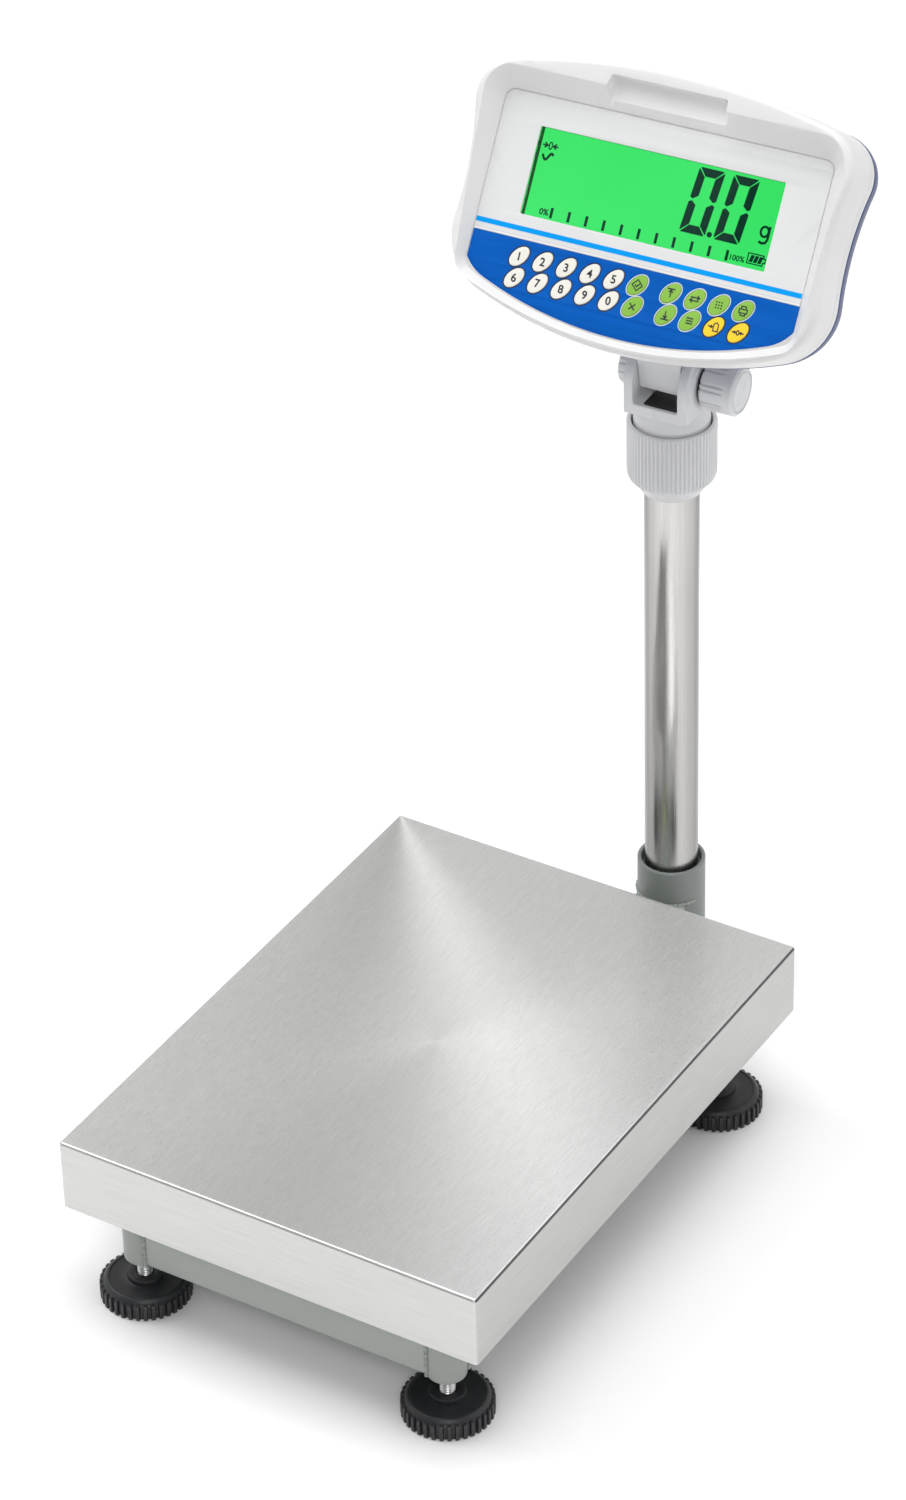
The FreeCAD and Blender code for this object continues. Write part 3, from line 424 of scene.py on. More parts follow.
def ellipse(x, y, a, b, slant=0.0, count=40):
    c, s = math.cos(math.radians(slant)), math.sin(math.radians(slant))
    spots = [(a * math.cos(2 * math.pi * i / count), b * math.sin(2 * math.pi * i / count))
             for i in range(count)]
    return [(x + p * c - q * s, y + p * s + q * c) for p, q in spots]


def rounded_box(x, y, radius, steps=5):
    corners = [(x[0], y[0]), (x[1], y[0]), (x[1], y[1]), (x[0], y[1])]
    return softened(corners, radius, steps, closed=True)


def cut(shape, *tools):
    """A shape with closed shapes taken away from it."""
    objects = [bpy.data.objects.new(f"cut{i}", mesh_of(s)) for i, s in enumerate((shape, *tools))]
    for tool in objects[1:]:
        linked(tool)
        change = objects[0].modifiers.new("cut", "BOOLEAN")
        change.object, change.operation, change.solver = tool, "DIFFERENCE", "EXACT"
    made = shape_of(objects[0])
    for tool in objects[1:]:
        bpy.data.objects.remove(tool)
    return made


def moulded(shapes, voxel, smooth):
    """Several closed shapes melted into one moulding with softly blended corners."""
    thing = bpy.data.objects.new("moulding", mesh_of(merged(*shapes)))
    remesh = thing.modifiers.new("remesh", "REMESH")
    remesh.mode, remesh.voxel_size, remesh.adaptivity = "VOXEL", voxel, 0.0
    ease = thing.modifiers.new("ease", "SMOOTH")
    ease.factor, ease.iterations = 0.5, smooth
    return shape_of(thing)


def mesh_of(shape, place=Matrix()):
    mesh = bpy.data.meshes.new("shape")
    mesh.from_pydata([tuple(place @ Vector(p)) for p in shape[0]], [], shape[1])
    bm = bmesh.new()
    bm.from_mesh(mesh)
    bmesh.ops.remove_doubles(bm, verts=bm.verts, dist=1e-5)
    bmesh.ops.recalc_face_normals(bm, faces=bm.faces)
    bm.to_mesh(mesh)
    bm.free()
    return mesh


def drawn_in(body):
    """The frame that a body's pieces are drawn in."""
    return HEAD if body == "head" or body.startswith("key_") else NECK if body in ("neck",
                                                                                   "knob") else Matrix()


def piece(name, shape, body, slot, finish=None, place=None, stands_for=(), crease=32):
    """A finished piece of the object, from a shape in millimetres."""
    mesh = mesh_of(shape, drawn_in(body) if place is None else place)
    mesh.transform(Matrix.Scale(MM, 4))
    mesh.shade_smooth()
    mesh.set_sharp_from_angle(angle=math.radians(crease))
    mesh.materials.append(FINISH[finish or slot])
    thing = linked(bpy.data.objects.new(name, mesh))
    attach(thing, body)
    if stands_for:
        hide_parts(*stands_for)
    return thing


# ---------------------------------------------------------------- outlines of the head
def swept(centre, start, end, count):
    """Points of the shorter arc from start to end about a centre, without its last point."""
    a, b = start - centre, end - centre
    turn = math.atan2(a.x * b.y - a.y * b.x, a.dot(b))
    return [centre + Vector((a.x * math.cos(t) - a.y * math.sin(t), a.x * math.sin(t) + a.y * math.cos(t)))
            for t in (turn * i / count for i in range(count))]


def mirrored(point):
    return Vector((-point.x, point.y))


ACROSS, ROUND, SIDE = 60, 14, 16      # points along the top or bottom, round a corner, and down a side


# radii of the head's outline, along the top, at the top corners, at the waist, at the low corners and below
TOP_R, CORNER_R, WAIST_R, LOW_CORNER_R, LOW_R = 497.0, 27.8, 215.0, 39.5, 285.0


def head_ring(inset=0.0):
    """The head's outline, from the top's left end clockwise, moved in by inset."""
    top, bottom = Vector((0, 77.3 - TOP_R)), Vector((0, LOW_R - 98.2))
    corner = Vector((101.3, top.y + math.sqrt((TOP_R - CORNER_R) ** 2 - 101.3 ** 2)))
    low = Vector((87.4, bottom.y - math.sqrt((LOW_R - LOW_CORNER_R) ** 2 - 87.4 ** 2)))
    span, p, q = (low - corner).length, CORNER_R + WAIST_R, LOW_CORNER_R + WAIST_R
    along = (p ** 2 - q ** 2 + span ** 2) / (2 * span)
    step = (low - corner) / span
    waist = corner + step * along + Vector((-step.y, step.x)) * math.sqrt(p ** 2 - along ** 2)
    a = top + (corner - top).normalized() * (TOP_R - inset)
    b = corner + (waist - corner).normalized() * (CORNER_R - inset)
    c = low + (waist - low).normalized() * (LOW_CORNER_R - inset)
    d = bottom + (low - bottom).normalized() * (LOW_R - inset)
    return (swept(top, mirrored(a), a, ACROSS) + swept(corner, a, b, ROUND) + swept(waist, b, c, SIDE)
            + swept(low, c, d, ROUND) + swept(bottom, d, mirrored(d), ACROSS)
            + swept(mirrored(low), mirrored(d), mirrored(c), ROUND)
            + swept(mirrored(waist), mirrored(c), mirrored(b), SIDE)
            + swept(mirrored(corner), mirrored(b), mirrored(a), ROUND))


def straight(start, end, count):
    return [start.lerp(end, i / count) for i in range(count)]


FACE_CORNER_R, FACE_LOW_CORNER_R = 7.0, 8.0


def face_ring(grow=0.0):
    """The face inside the rim, matched point for point to the head's outline."""
    bottom = Vector((0, KEYPAD_LOW + LOW_R))
    low_x = FACE_HALF_WIDTH - FACE_LOW_CORNER_R
    low = Vector((low_x, bottom.y - math.sqrt((LOW_R - FACE_LOW_CORNER_R) ** 2 - low_x ** 2)))
    corner = Vector((FACE_HALF_WIDTH - FACE_CORNER_R, FACE_TOP - FACE_CORNER_R))
    side = FACE_HALF_WIDTH + grow
    a, b, c = Vector((corner.x, FACE_TOP + grow)), Vector((side, corner.y)), Vector((side, low.y))
    d = bottom + (low - bottom).normalized() * (LOW_R + grow)
    return (straight(mirrored(a), a, ACROSS) + swept(corner, a, b, ROUND) + straight(b, c, SIDE)
            + swept(low, c, d, ROUND) + swept(bottom, d, mirrored(d), ACROSS)
            + swept(mirrored(low), mirrored(d), mirrored(c), ROUND) + straight(mirrored(c), mirrored(b), SIDE)
            + swept(mirrored(corner), mirrored(b), mirrored(a), ROUND))


def window_ring(grow=1.0):
    """The window's opening, matched to the same points."""
    x, y = WINDOW_X + grow, WINDOW_Y + grow
    corner = [Vector((x, y)), Vector((x, -y))]
    return (straight(mirrored(corner[0]), corner[0], ACROSS)
            + [corner[0] + Vector((0, -1e-3 * i)) for i in range(ROUND)]
            + straight(corner[0] - Vector((0, 0.02)), corner[1], SIDE)
            + [corner[1] + Vector((-1e-3 * i, 0)) for i in range(ROUND)]
            + straight(corner[1] - Vector((0.02, 0)), mirrored(corner[1]), ACROSS)
            + [mirrored(corner[1]) + Vector((0, 1e-3 * i)) for i in range(ROUND)]
            + straight(mirrored(corner[1]) + Vector((0, 0.02)), mirrored(corner[0]), SIDE)
            + [mirrored(corner[0]) + Vector((1e-3 * i, 0)) for i in range(ROUND)])


def raised(ring, height):
    """A flat ring lifted out of the face by a height, or by a height for each point."""
    return [(p[0], p[1], height(p[1]) if callable(height) else height) for p in ring]


# ---------------------------------------------------------------- head: front and rear shells
def slope_ring(share, extra=0.0):
    """A ring on the slope between the face's edge (share 0) and the rim's inner edge (share 1)."""
    made = []
    for base, out in zip(face_ring(), face_ring(10.0)):
        way = (out - base) / 10.0
        steep = 0.85 * way.x ** 2 + 1.04 * way.y ** 2
        grow = 8.0
        for _ in range(6):
            grow = steep * (9.75 + 0.0588 * (base.y + way.y * grow))
        spot = base + way * (grow * share + extra)
        made.append((spot.x, spot.y, grow / steep * share))
    return made


def make_front_shell():
    """The housing's front: its walls, a rim that leans out over the face, and a seat for the panel."""
    inside = 2.4

    def crest(y):
        return 7.6 + 0.083 * y

    def outer(inset, below):
        return raised(head_ring(inset), lambda y: crest(y) + below)

    def blend(ring, other, share, drop=0.0):
        return [tuple(Vector(p) * (1 - share) + Vector(q) * share - Vector((0, 0, drop))) for p,
                q in zip(ring, other)]
    rim_in, edge = slope_ring(1.0), slope_ring(0.93)
    crown = [(p[0] * 0.5 + q[0] * 0.5, p[1] * 0.5 + q[1] * 0.5, p[2] * 0.5 + crest(q[1]) * 0.5 + 0.35)
             for p, q in zip(rim_in, head_ring(0.0))]
    rings = [raised(head_ring(inset), n) for inset, n in (
        (inside, PARTING), (0.9, PARTING), (0.5, PARTING + 0.4), (0.5, -20.2), (0.35, -19.9), (0.0, -19.5),
        (0.0, -18.9), (0.0, -8.0))]
    rings += [outer(*step) for step in ((0.0, -4.2), (0.18, -2.8), (0.75, -1.5), (1.7, -0.55), (2.9, 0.05))]
    top = rings[-1]
    rings += [blend(top, crown, 0.25), blend(rim_in, top, 0.14), blend(rim_in, edge, 0.03, 0.12),
              edge, slope_ring(0.5), slope_ring(0.06), raised(face_ring(), -0.05), raised(face_ring(), -0.8),
              raised(window_ring(), -0.8), raised(window_ring(), -3.3), raised(face_ring(0.5), -3.3),
              raised(head_ring(9.0), 1.0), raised(head_ring(inside), -2.0)]
    grip = ([(-38.5, 51.9, 5.5), (38.5, 51.9, 5.5), (38.5, 67.2, 5.5), (-38.5, 67.2, 5.5),
             (-46.5, 51.0, 18.0), (46.5, 51.0, 18.0), (39.8, 68.6, 18.0), (-39.8, 68.6, 18.0)],
            [(0, 3, 2, 1), (4, 5, 6, 7), (0, 1, 5, 4), (1, 2, 6, 5), (2, 3, 7, 6), (3, 0, 4, 7)])

    def below_its_top(edge):
        heights = [v.co.z for v in edge.verts]
        return max(heights) < 17 or min(heights) < 7

    def round_grip(edge):
        near = all(abs(v.co.x) < 47 and v.co.y > 50.5 and v.co.z > 4.5 for v in edge.verts)
        return near and edge.calc_face_angle() > math.radians(28)
    shell = cut(loft(rings, closed=True), bevelled(grip, 1.0, 3, where=below_its_top))
    return bevelled(shell, 0.55, 3, 28, round_grip)


SCREW_SPOTS = [(sx * 98.0, y, 0.0) for sx in (-1, 1) for y in (42.0, -50.0)]


def make_rear_shell():
    """A hollow tray with screw holes, nine vents on each side and openings for the two sockets."""
    inside = [(19.0, -53.4), (13.0, -51.0), (7.4, -44.0), (3.6, -34.0), (2.9, -28.35)]
    outside = [(0.7, -28.35), (0.35, -28.7), (0.45, -31.0), (1.0, -34.5), (2.4, -40.0), (4.6, -46.0),
               (7.6, -50.6),
               (10.6, -53.6), (13.2, -55.3), (16.5, -56.0)]
    shell = loft([raised(head_ring(i), n) for i, n in inside + outside])
    tools = [moved(turned([(4.5, -57), (4.5, -36)], 32), at(spot)) for spot in SCREW_SPOTS]
    tools += [box((-76, -44), (-57, -43), (-58, -50)),
              moved(turned([(6, 0), (6, 8)], 32), at((60, -50, -58)))]
    tools += [prism(rounded_box((x - 1.1, x + 1.1), (12, 34), 1.05), -57, -50)
              for i in range(9) for x in (-24 - 5.2 * i, 24 + 5.2 * i)]
    return cut(shell, *tools)


piece("head_front_shell_moulding", make_front_shell(), "head", "housing_plastic",
      stands_for=["head_front_shell"])
piece("head_rear_shell_moulding", make_rear_shell(), "head", "rear_plastic", stands_for=["head_rear_shell"])
screw_head = cut(turned([(0.4, -36.0), (3.6, -36.0), (3.9, -36.4), (3.4, -38.0), (2.2, -38.7), (0.4, -38.9)]),
                 box((-2, 2), (-0.45, 0.45), (-40, -37.4)), box((-0.45, 0.45), (-2, 2), (-40, -37.4)))
screw_shank = turned([(2, -16.2), (2, -36)], 20)
screws = [moved(part, at(spot)) for part in (screw_head, screw_shank) for spot in SCREW_SPOTS]
piece("rear_screw_heads", merged(*screws), "head", "zinc_steel", stands_for=["rear_screws"])


# ---------------------------------------------------------------- face: panel, window, display, keypad
def clipped(ring, low=None, high=None):
    """The part of a flat outline above low or below high."""
    made, count = [], len(ring)
    edge, keep = (low, lambda p: p[1] >= low) if low is not None else (high, lambda p: p[1] <= high)
    for i, point in enumerate(ring):
        after = ring[(i + 1) % count]
        if keep(point):
            made.append(tuple(point[:2]))
        if keep(point) != keep(after):
            t = (edge - point[1]) / (after[1] - point[1])
            made.append((point[0] + (after[0] - point[0]) * t, edge))
    return made


def window_box(inset, radius):
    return rounded_box((-WINDOW_X + inset, WINDOW_X - inset), (-WINDOW_Y + inset, WINDOW_Y - inset), radius)


EDGE_GAP, FILM = 0.6, -0.8          # round the films, and how deep they lie in the face
panel_outline = clipped(face_ring(-EDGE_GAP), low=-41.4)
piece("display_panel_film", flat([panel_outline, window_box(0.0, 0.8)], FILM, 0.0, 0.12), "head",
      "panel_film",
      stands_for=["display_panel"])
stripe = clipped(clipped(face_ring(-EDGE_GAP - 0.15), low=-38.4), high=-35.2)
piece("panel_stripe", flat([stripe], 0.0, 0.06), "head", "panel_film", "stripe_ink")
ridge = softened([(-112.2, -43.1), (-112.2, -41.5), (112.2, -41.5), (112.2, -43.1)], 0.2, 2, closed=True)
piece("face_ridge", flat([ridge], -0.9, 0.25, 0.3), "head", "housing_plastic")

KEYS = {"key_1": "1", "key_2": "2", "key_3": "3", "key_4": "4", "key_5": "5", "key_check": "check",
        "key_high_limit": "high", "key_unit": "unit", "key_count": "count", "key_print": "print",
        "key_6": "6", "key_7": "7", "key_8": "8", "key_9": "9", "key_0": "0", "key_clear": "clear",
        "key_low_limit": "low", "key_function": "function", "key_tare": "tare", "key_zero": "zero"}


def key_spot(name):
    """The middle of a key: two rows of ten, with a gap after the sixth column."""
    i = list(KEYS).index(name)
    column, y = i % 10, -53.8 if i < 10 else -67.4
    return (-77.2 + 16.45 * column if column < 6 else 28.0 + 16.45 * (column - 6)), y


KEY_A, KEY_B, KEY_SLANT = 7.7, 4.7, 48        # half axes of a cap, and its slant in degrees


def key_ring(spot, grow):
    return ellipse(*spot, KEY_A + grow, KEY_B + grow, KEY_SLANT)


def key_tint(name):
    if name in ("key_tare", "key_zero"):
        return "key_yellow"
    return "key_white" if name[4:].isdigit() else "key_green"


keypad_outline = clipped(face_ring(-EDGE_GAP), high=-43.2)
holes = [key_ring(key_spot(name), 0.25) for name in KEYS]
piece("keypad_film_sheet", flat([keypad_outline, *holes], FILM, 0.0, 0.1), "head", "keypad_film",
      stands_for=["keypad_overlay"])
for tone, on_green in (("dark", False), ("pale", True)):
    rings = [flat([key_ring(key_spot(n), 0.9), key_ring(key_spot(n), 0.3)], 0.0, 0.07)
             for n in KEYS if (key_tint(n) == "key_green") == on_green]
    piece("key_outlines_" + tone, merged(*rings), "head", "keypad_film", tone + "_ink")


def arrow(x, y, length, angle, head=1.9, width=0.9):
    """The outlines of an arrow that points along angle and ends at (x, y)."""
    u = Vector((math.cos(math.radians(angle)), math.sin(math.radians(angle))))
    v, tip = Vector((-u.y, u.x)), Vector((x, y))
    return [*stroke([tip - u * length, tip - u * 0.5], width),
            *stroke([tip - u * head + v * head * 0.8, tip, tip - u * head - v * head * 0.8], width)]


def split(*arrows):
    """Each arrow's shaft and head, in groups of their own, because they overlap."""
    return [group for pair in arrows for group in (pair[:1], pair[1:])]


BAR, FINE = 1.0, 0.85                         # widths of the lines of a pictogram
PICTOGRAMS = {                                # groups of outlines that overlap nothing in their group
    "check": [stroke([(-4.0, 0.0), (0, 4.0), (4.0, 0), (0, -4.0)], FINE, True),
              stroke([(-1.7, 0.1), (-0.4, -1.2), (1.9, 1.3)], BAR)],
    "high": [stroke([(-3.0, 3.2), (3.0, 3.2)], BAR), *split(arrow(0, 2.5, 5.4, 90))],
    "low": [stroke([(-3.0, -3.2), (3.0, -3.2)], BAR), *split(arrow(0, -2.5, 5.4, -90))],
    "unit": split(arrow(3.6, 1.2, 7.0, 0), arrow(-3.6, -1.2, 7.0, 180)),
    "count": [[ellipse(2.1 * i, 2.1 * j, 0.62, 0.62, count=14)] for i in (-1, 0, 1) for j in (-1, 0, 1)],
    "print": [stroke([(-3.1, -1.5), (-3.1, 1.2), (3.1, 1.2), (3.1, -1.5)], FINE, True),
              stroke([(-1.8, 1.5), (-1.8, 3.3), (1.8, 3.3), (1.8, 1.5)], FINE),
              stroke([(-1.8, -1.9), (-1.8, -3.3), (1.8, -3.3), (1.8, -1.9)], FINE)],
    "clear": [stroke([(-2.3, -2.3), (2.3, 2.3)], BAR), stroke([(-2.3, 2.3), (2.3, -2.3)], BAR)],
    "function": [stroke([(-2.6, y), (2.6, y)], BAR) for y in (-1.9, 0, 1.9)],
    "tare": [stroke([(0.0, -2.8), (0.0, 2.0), (1.9, 3.4), (3.6, 2.0), (3.6, -2.8)], FINE, True),
             *split(arrow(-0.9, 0, 3.4, 0, 1.3))],
    "zero": [stroke(ellipse(0, 0, 1.0, 1.6, count=20), FINE, True),
             *split(arrow(-1.7, 0, 3.0, 0, 1.2), arrow(1.7, 0, 3.0, 180, 1.2))]}
CAP_TOP = 0.43


def key_cap(spot):
    """A slightly domed elliptical cap."""
    levels = [(0.0, -2.1), (0.0, 0.05), (0.18, 0.28), (0.55, 0.36), (1.6, 0.40), (3.2, 0.42)]
    return loft([raised(key_ring(spot, -inset), n) for inset, n in levels])


for name, mark in KEYS.items():
    x, y = spot = key_spot(name)
    piece(name + "_cap", key_cap(spot), name, key_tint(name), stands_for=[name])
    if mark.isdigit():
        printed = letters(mark, 7.3, x, y, CAP_TOP, weight=0.155)
    else:
        printed = merged(*[moved(flat(group, 0.0, 0.06),
                                 at((x, y, CAP_TOP + 0.002 * i)) @ Matrix.Scale(0.86, 4))
                           for i, group in enumerate(PICTOGRAMS[mark])])
    piece(name + "_mark", printed, name, key_tint(name), "dark_ink")

LCD = -6.6                                    # the face of the display glass
board = rounded_box((-90, 90), (-33, 33), 2)
module = loft([raised(ring, n) for ring, n in (
    (board, -16.6), (board, -3.4), (window_box(0.0, 0.6), -3.4), (window_box(0.0, 0.6), LCD - 0.3))])
piece("lcd_frame", module, "head", "lcd_backlight", "lcd_frame", stands_for=["lcd_module"])
piece("lcd_glow", flat([window_box(0.05, 0.5)], LCD - 0.25, LCD, 0.05), "head", "lcd_backlight")
piece("lcd_window_pane", flat([window_box(0.1, 0.7)], -2.3, -0.35, 0.15), "head", "lcd_glass",
      stands_for=["lcd_window"])


# ---------------------------------------------------------------- what the display shows
def ink(outlines, lift=0.02):
    """A dark mark on the glass. Marks that overlap have a different lift."""
    return flat(outlines, LCD + lift, LCD + lift + 0.1)


def nought(x, low=-15.4, width=17.6, height=41.2, bar=5.3, gap=0.5, lean=0.09):
    """A leaning nought of six segments, with mitred gaps between them."""
    middle, inner = height / 2, bar - gap * 0.2
    top = [(gap, height), (width - gap, height), (width - bar - gap * 0.3, height - bar),
           (bar + gap * 0.3, height - bar)]
    upper = [(0, height - gap * 1.2), (inner, height - bar - gap), (inner, middle + bar * 0.55),
             (bar * 0.35, middle + gap), (0, middle + bar * 0.3)]
    made = []
    for part in (top, [(p, height - q) for p, q in top], upper, [(width - p, q) for p, q in upper],
                 [(p, height - q) for p, q in upper], [(width - p, height - q) for p, q in upper]):
        spots = [(x + p + (q - middle) * lean, low + q) for p, q in part]
        made.append(ink([softened(spots, 0.35, 2, closed=True)]))
    return made


def battery_bar(x):
    return [(x, -23.7), (x + 1.1, -19.3), (x + 3.5, -19.3), (x + 2.4, -23.7)]


hook = [(78.5, -0.2), (78.5, -8.4), (77.4, -10.6), (75.2, -11.1), (73.0, -10.4)]
case = [(68.8, -24.6), (68.8, -18.4), (79.2, -18.4), (79.2, -20.2), (80.6, -20.2), (80.6, -22.8),
        (79.2, -22.8),
        (79.2, -24.6)]
wave = [(-81.5 + 7.4 * i / 24, 10.4 - 2.1 * math.sin(2 * math.pi * (i / 24 - 0.08))) for i in range(25)]
zero_arrows = split(arrow(-79.4, 17.2, 3.4, 0, 2.0, 1.0), arrow(-75.4, 17.2, 3.4, 180, 2.0, 1.0))
marks = [
    *nought(21.9), *nought(45.2), ink([ellipse(40.5, -13.4, 1.75, 1.75)]),
    ink(stroke(ellipse(75.6, -3.9, 2.6, 3.1, count=28), 1.5, True)), ink(stroke(hook, 1.6), 0.03),
    *[ink([rounded_box((x - 0.95, x + 0.95), (-26.4, -19.8), 0.1)])
      for x in (-66.0 + 12.11 * i for i in range(11))],
    letters("0%", 5.4, -71.2, -23.4, LCD + 0.02, 0.1, weight=0.14),
    letters("100%", 4.9, 62.2, -23.4, LCD + 0.02, 0.1, weight=0.1),
    ink(stroke(case, 0.75, True)), *[ink([battery_bar(69.8 + 2.9 * i)]) for i in range(3)],
    *[ink(group, lift) for group, lift in zip(zero_arrows, (0.02, 0.03, 0.02, 0.03))],
    ink(stroke(ellipse(-77.4, 17.2, 1.1, 2.2, count=20), 0.75, True)), ink(stroke(wave, 1.6))]
piece("lcd_figures", merged(*marks), "head", "lcd_backlight", "lcd_ink")


# ---------------------------------------------------------------- fork, tongue, knob and collar
def ear_plate(profile, low, high):
    """A plate across X from (y, z) points, between two values of x."""
    outline = softened(profile, 0.5, 4, closed=True)
    return loft([[(x, *p) for p in outline] for x in (low, high)])


def make_fork():
    """The fork, melted from a dome, a sill, two ears and the right ear's flange, with a seam in front."""
    ear = [(-25, 433.5), (25, 433.5), *[(25 * math.cos(math.radians(a)),
                                         TILT_Z + 25 * math.sin(math.radians(a)))
                                        for a in range(0, 181, 10)]]
    dome = turned(softened([(9.4, 390.4), (24.9, 390.4), (24.9, 424.5), (23.2, 431.0), (22.0, 437.5),
                            (9.4, 437.5)],
                           2.0, 4, closed=True), 72, closed=True)
    sill = bevelled(cut(box((-22, 22), (-25, 25), (433.5, 441.3)), turned([(12.4, 430), (12.4, 450)], 48)),
                    0.5, 2)
    ears = [ear_plate(ear, x, x + 6.3) for x in (-22, 15.7)]
    flange = turned([(4.2, 20.5), (20, 20.5), (20, 23.2), (19.4, 23.9), (13.5, 23.9), (12.9, 23.4),
                     (4.2, 23.4)],
                    64, closed=True)
    shape = moulded([dome, sill, *ears, moved(flange, TILT_AXIS)], 0.55, 5)
    seam = box((-0.25, 0.25), (-26, -24.75), (434.5, 440.9))
    return cut(shape, seam, moved(turned([(4.05, -30), (4.05, 30)], 32), TILT_AXIS))


piece("neck_fork_moulding", make_fork(), "neck", "bracket_plastic", stands_for=["neck_fork"], crease=40)


def make_boss():
    """The serrated boss on the left ear, at the end of the tilt bolt."""
    def ribbed(angle, r, x):
        return r - (0.7 * max(0.0, math.sin(angle * 14)) if r > 10.5 else 0.0)
    profile = softened([(4.02, -22.2), (12.6, -22.2), (12.8, -31.2), (11.2, -33.2), (7.6, -33.2),
                        (7.0, -30.4),
                        (4.02, -30.4)], 0.5, 3)
    return moved(turned(profile, 168, closed=True, radius=ribbed), TILT_AXIS)


bolt = turned(softened([(0.01, -26.3), (4, -26.3), (4, 37), (3, 38.05), (0.01, 38.05)], 0.4, 2), 32)
washer = softened([(4.1, 24.0), (12.6, 24.0), (12.8, 25.7), (4.1, 25.7)], 0.3, 2, closed=True)
piece("tilt_bolt_boss", make_boss(), "neck", "bracket_plastic", stands_for=["tilt_bolt"])
piece("tilt_bolt_shank", moved(bolt, TILT_AXIS), "neck", "zinc_steel")
piece("tilt_washer", moved(turned(washer, 48, closed=True), TILT_AXIS), "neck", "black_plastic")


def make_knob():
    """A round grip with eight pairs of shallow grooves that run out before its outer end."""
    run_out, grip = 43, 16.5                  # where the grooves end, and the grip's radius

    def grooved(angle, r, x):
        if r < 14 or x > run_out:
            return r
        share = (angle / (2 * math.pi) * 8) % 1.0
        depth = sum(max(0.0, 1 - abs(share - middle) / 0.085) for middle in (0.36, 0.64))
        return r - 1.3 * min(1.0, (run_out - x) / 3.0) * min(1.0, depth * 1.6)
    profile = softened([(4.1, 24.5), (9.0, 24.5), (9.0, 26.0), (15.3, 26.0, 0.8), (grip, 27.4, 0.8),
                        *[(grip, x) for x in (30, 33, 36, 39, 41, 42, 43, 45)],
                        (grip, 47.6, 1.0), (15.0, 49.2, 0.8), (13.9, 49.4, 0.25), (13.5, 48.4, 0.25),
                        (12.6, 48.4, 0.25), (12.2, 49.4, 0.25), (8.0, 49.4), (0.05, 49.4)], 0.5, 3)
    bore = [(0.05, 38.6), (4.1, 38.5)]
    return moved(turned(profile + bore, 240, closed=True, radius=grooved), TILT_AXIS)


piece("clamp_knob_grip", make_knob(), "knob", "bracket_plastic", stands_for=["clamp_knob"], crease=28)


def make_collar():
    """A ribbed grip ring: sixty-four ribs that run in at the bottom to a smooth skirt."""
    def ribbed(angle, r, z):
        off_groove = abs(angle * 64 / (2 * math.pi) % 1.0 - 0.5)
        groove = min(1.0, max(0.0, (off_groove - 0.21) / 0.14))
        fade = min(1.0, max(0.0, (z - 378.5) / 3.0)) * min(1.0, max(0.0, (421.4 - z) / 0.6))
        return r - 1.3 * fade * groove if r > 26.3 or z < 385 and r > 22 else r
    outer = [(18.35, 370.05), (19.4, 370.05), (20.2, 370.7), (23.6, 376.6), (24.3, 377.8), (25.3, 378.7),
             (26.9, 379.7), (28.0, 381.0), (28.7, 382.6), (29.1, 384.6),
             *[(29.2, z) for z in (387, 395, 405, 414, 419, 420.6)], (29.05, 421.3), (28.6, 421.8),
             (27.9, 422.0),
             (26.7, 422.0), (26.25, 421.6), (26.2, 420.8), (26.2, 404), (26.2, 390.1), (18.35, 390.0)]
    return turned(outer, 64 * 12, closed=True, radius=ribbed)


piece("collar_grip", make_collar(), "collar", "bracket_plastic", stands_for=["collar"], place=AT_POST,
      crease=40)


def in_face(y, z):
    """A point of the post's frame, as (y, n) of the face's frame."""
    angle = math.radians(FACE_SLOPE)
    dy, dz = y - FACE_Y, z - FACE_Z
    return dy * math.sin(angle) + dz * math.cos(angle), -dy * math.cos(angle) + dz * math.sin(angle)


def make_tongue():
    """A curved front plate between two cheeks, open behind and below, under a pad on the rear shell."""
    def plate(profile, half):
        outline = softened(profile, 6.0, 5, closed=True)
        return loft([[(x, *in_face(*p)) for p in outline] for x in (-half, half)])
    body = plate([(-30.0, 500, 1), (-22.5, 480), (-18.0, 465), (-15.0, 449.5, 0.8), (-11.5, 446.5, 2),
                  (12.0, 450),
                  (10.5, 480), (4, 512, 1)], 15.2)
    hollow = plate([(-29.0, 506, 0), (-19.5, 480), (-14.8, 465), (-11.6, 436, 0), (8.6, 436, 0),
                    (8.0, 506, 0)], 12.0)
    behind = box((-40, 40), (-150, 60), (BACK + 0.02, 60))
    shaft = at((0, *in_face(0, TILT_Z))) @ ALONG_X
    eyes = [moved(turned([(4.05, x), (9.5, x), (9.5, x + 3.0), (4.05, x + 3.0)], 40, closed=True), shaft)
            for x in (-15.2, 12.2)]
    pad = loft([raised(rounded_box((-30 + i, 30 - i), (-84 + i, -40 - i), 3), n)
                for i, n in ((0, BACK + 0.02), (0, BACK - 4.0), (0.4, BACK - 4.7), (1.1, BACK - 5.0))])
    cheeks = cut(body, hollow, behind, moved(turned([(4.06, -20), (4.06, 20)], 32), shaft))
    return bevelled(cheeks, 0.4, 2, 40), merged(*eyes), pad


for name, part in zip(("tongue_arm", "tongue_eyes", "tongue_pad"), make_tongue()):
    piece(name, part, "head", "bracket_plastic", stands_for=["head_tongue"] if name == "tongue_arm" else ())


# Painted shade: a black sheet on the fork's floor, over its hole, stands in for the shade inside the fork.
floor_shade_sheet = flat([rounded_box((-9.5, 15.4), (-22.5, 14.0), 2.0, 4)], 441.2, 441.68, 0.05)
piece("fork_floor_shade_sheet", floor_shade_sheet, "neck", "black_plastic")


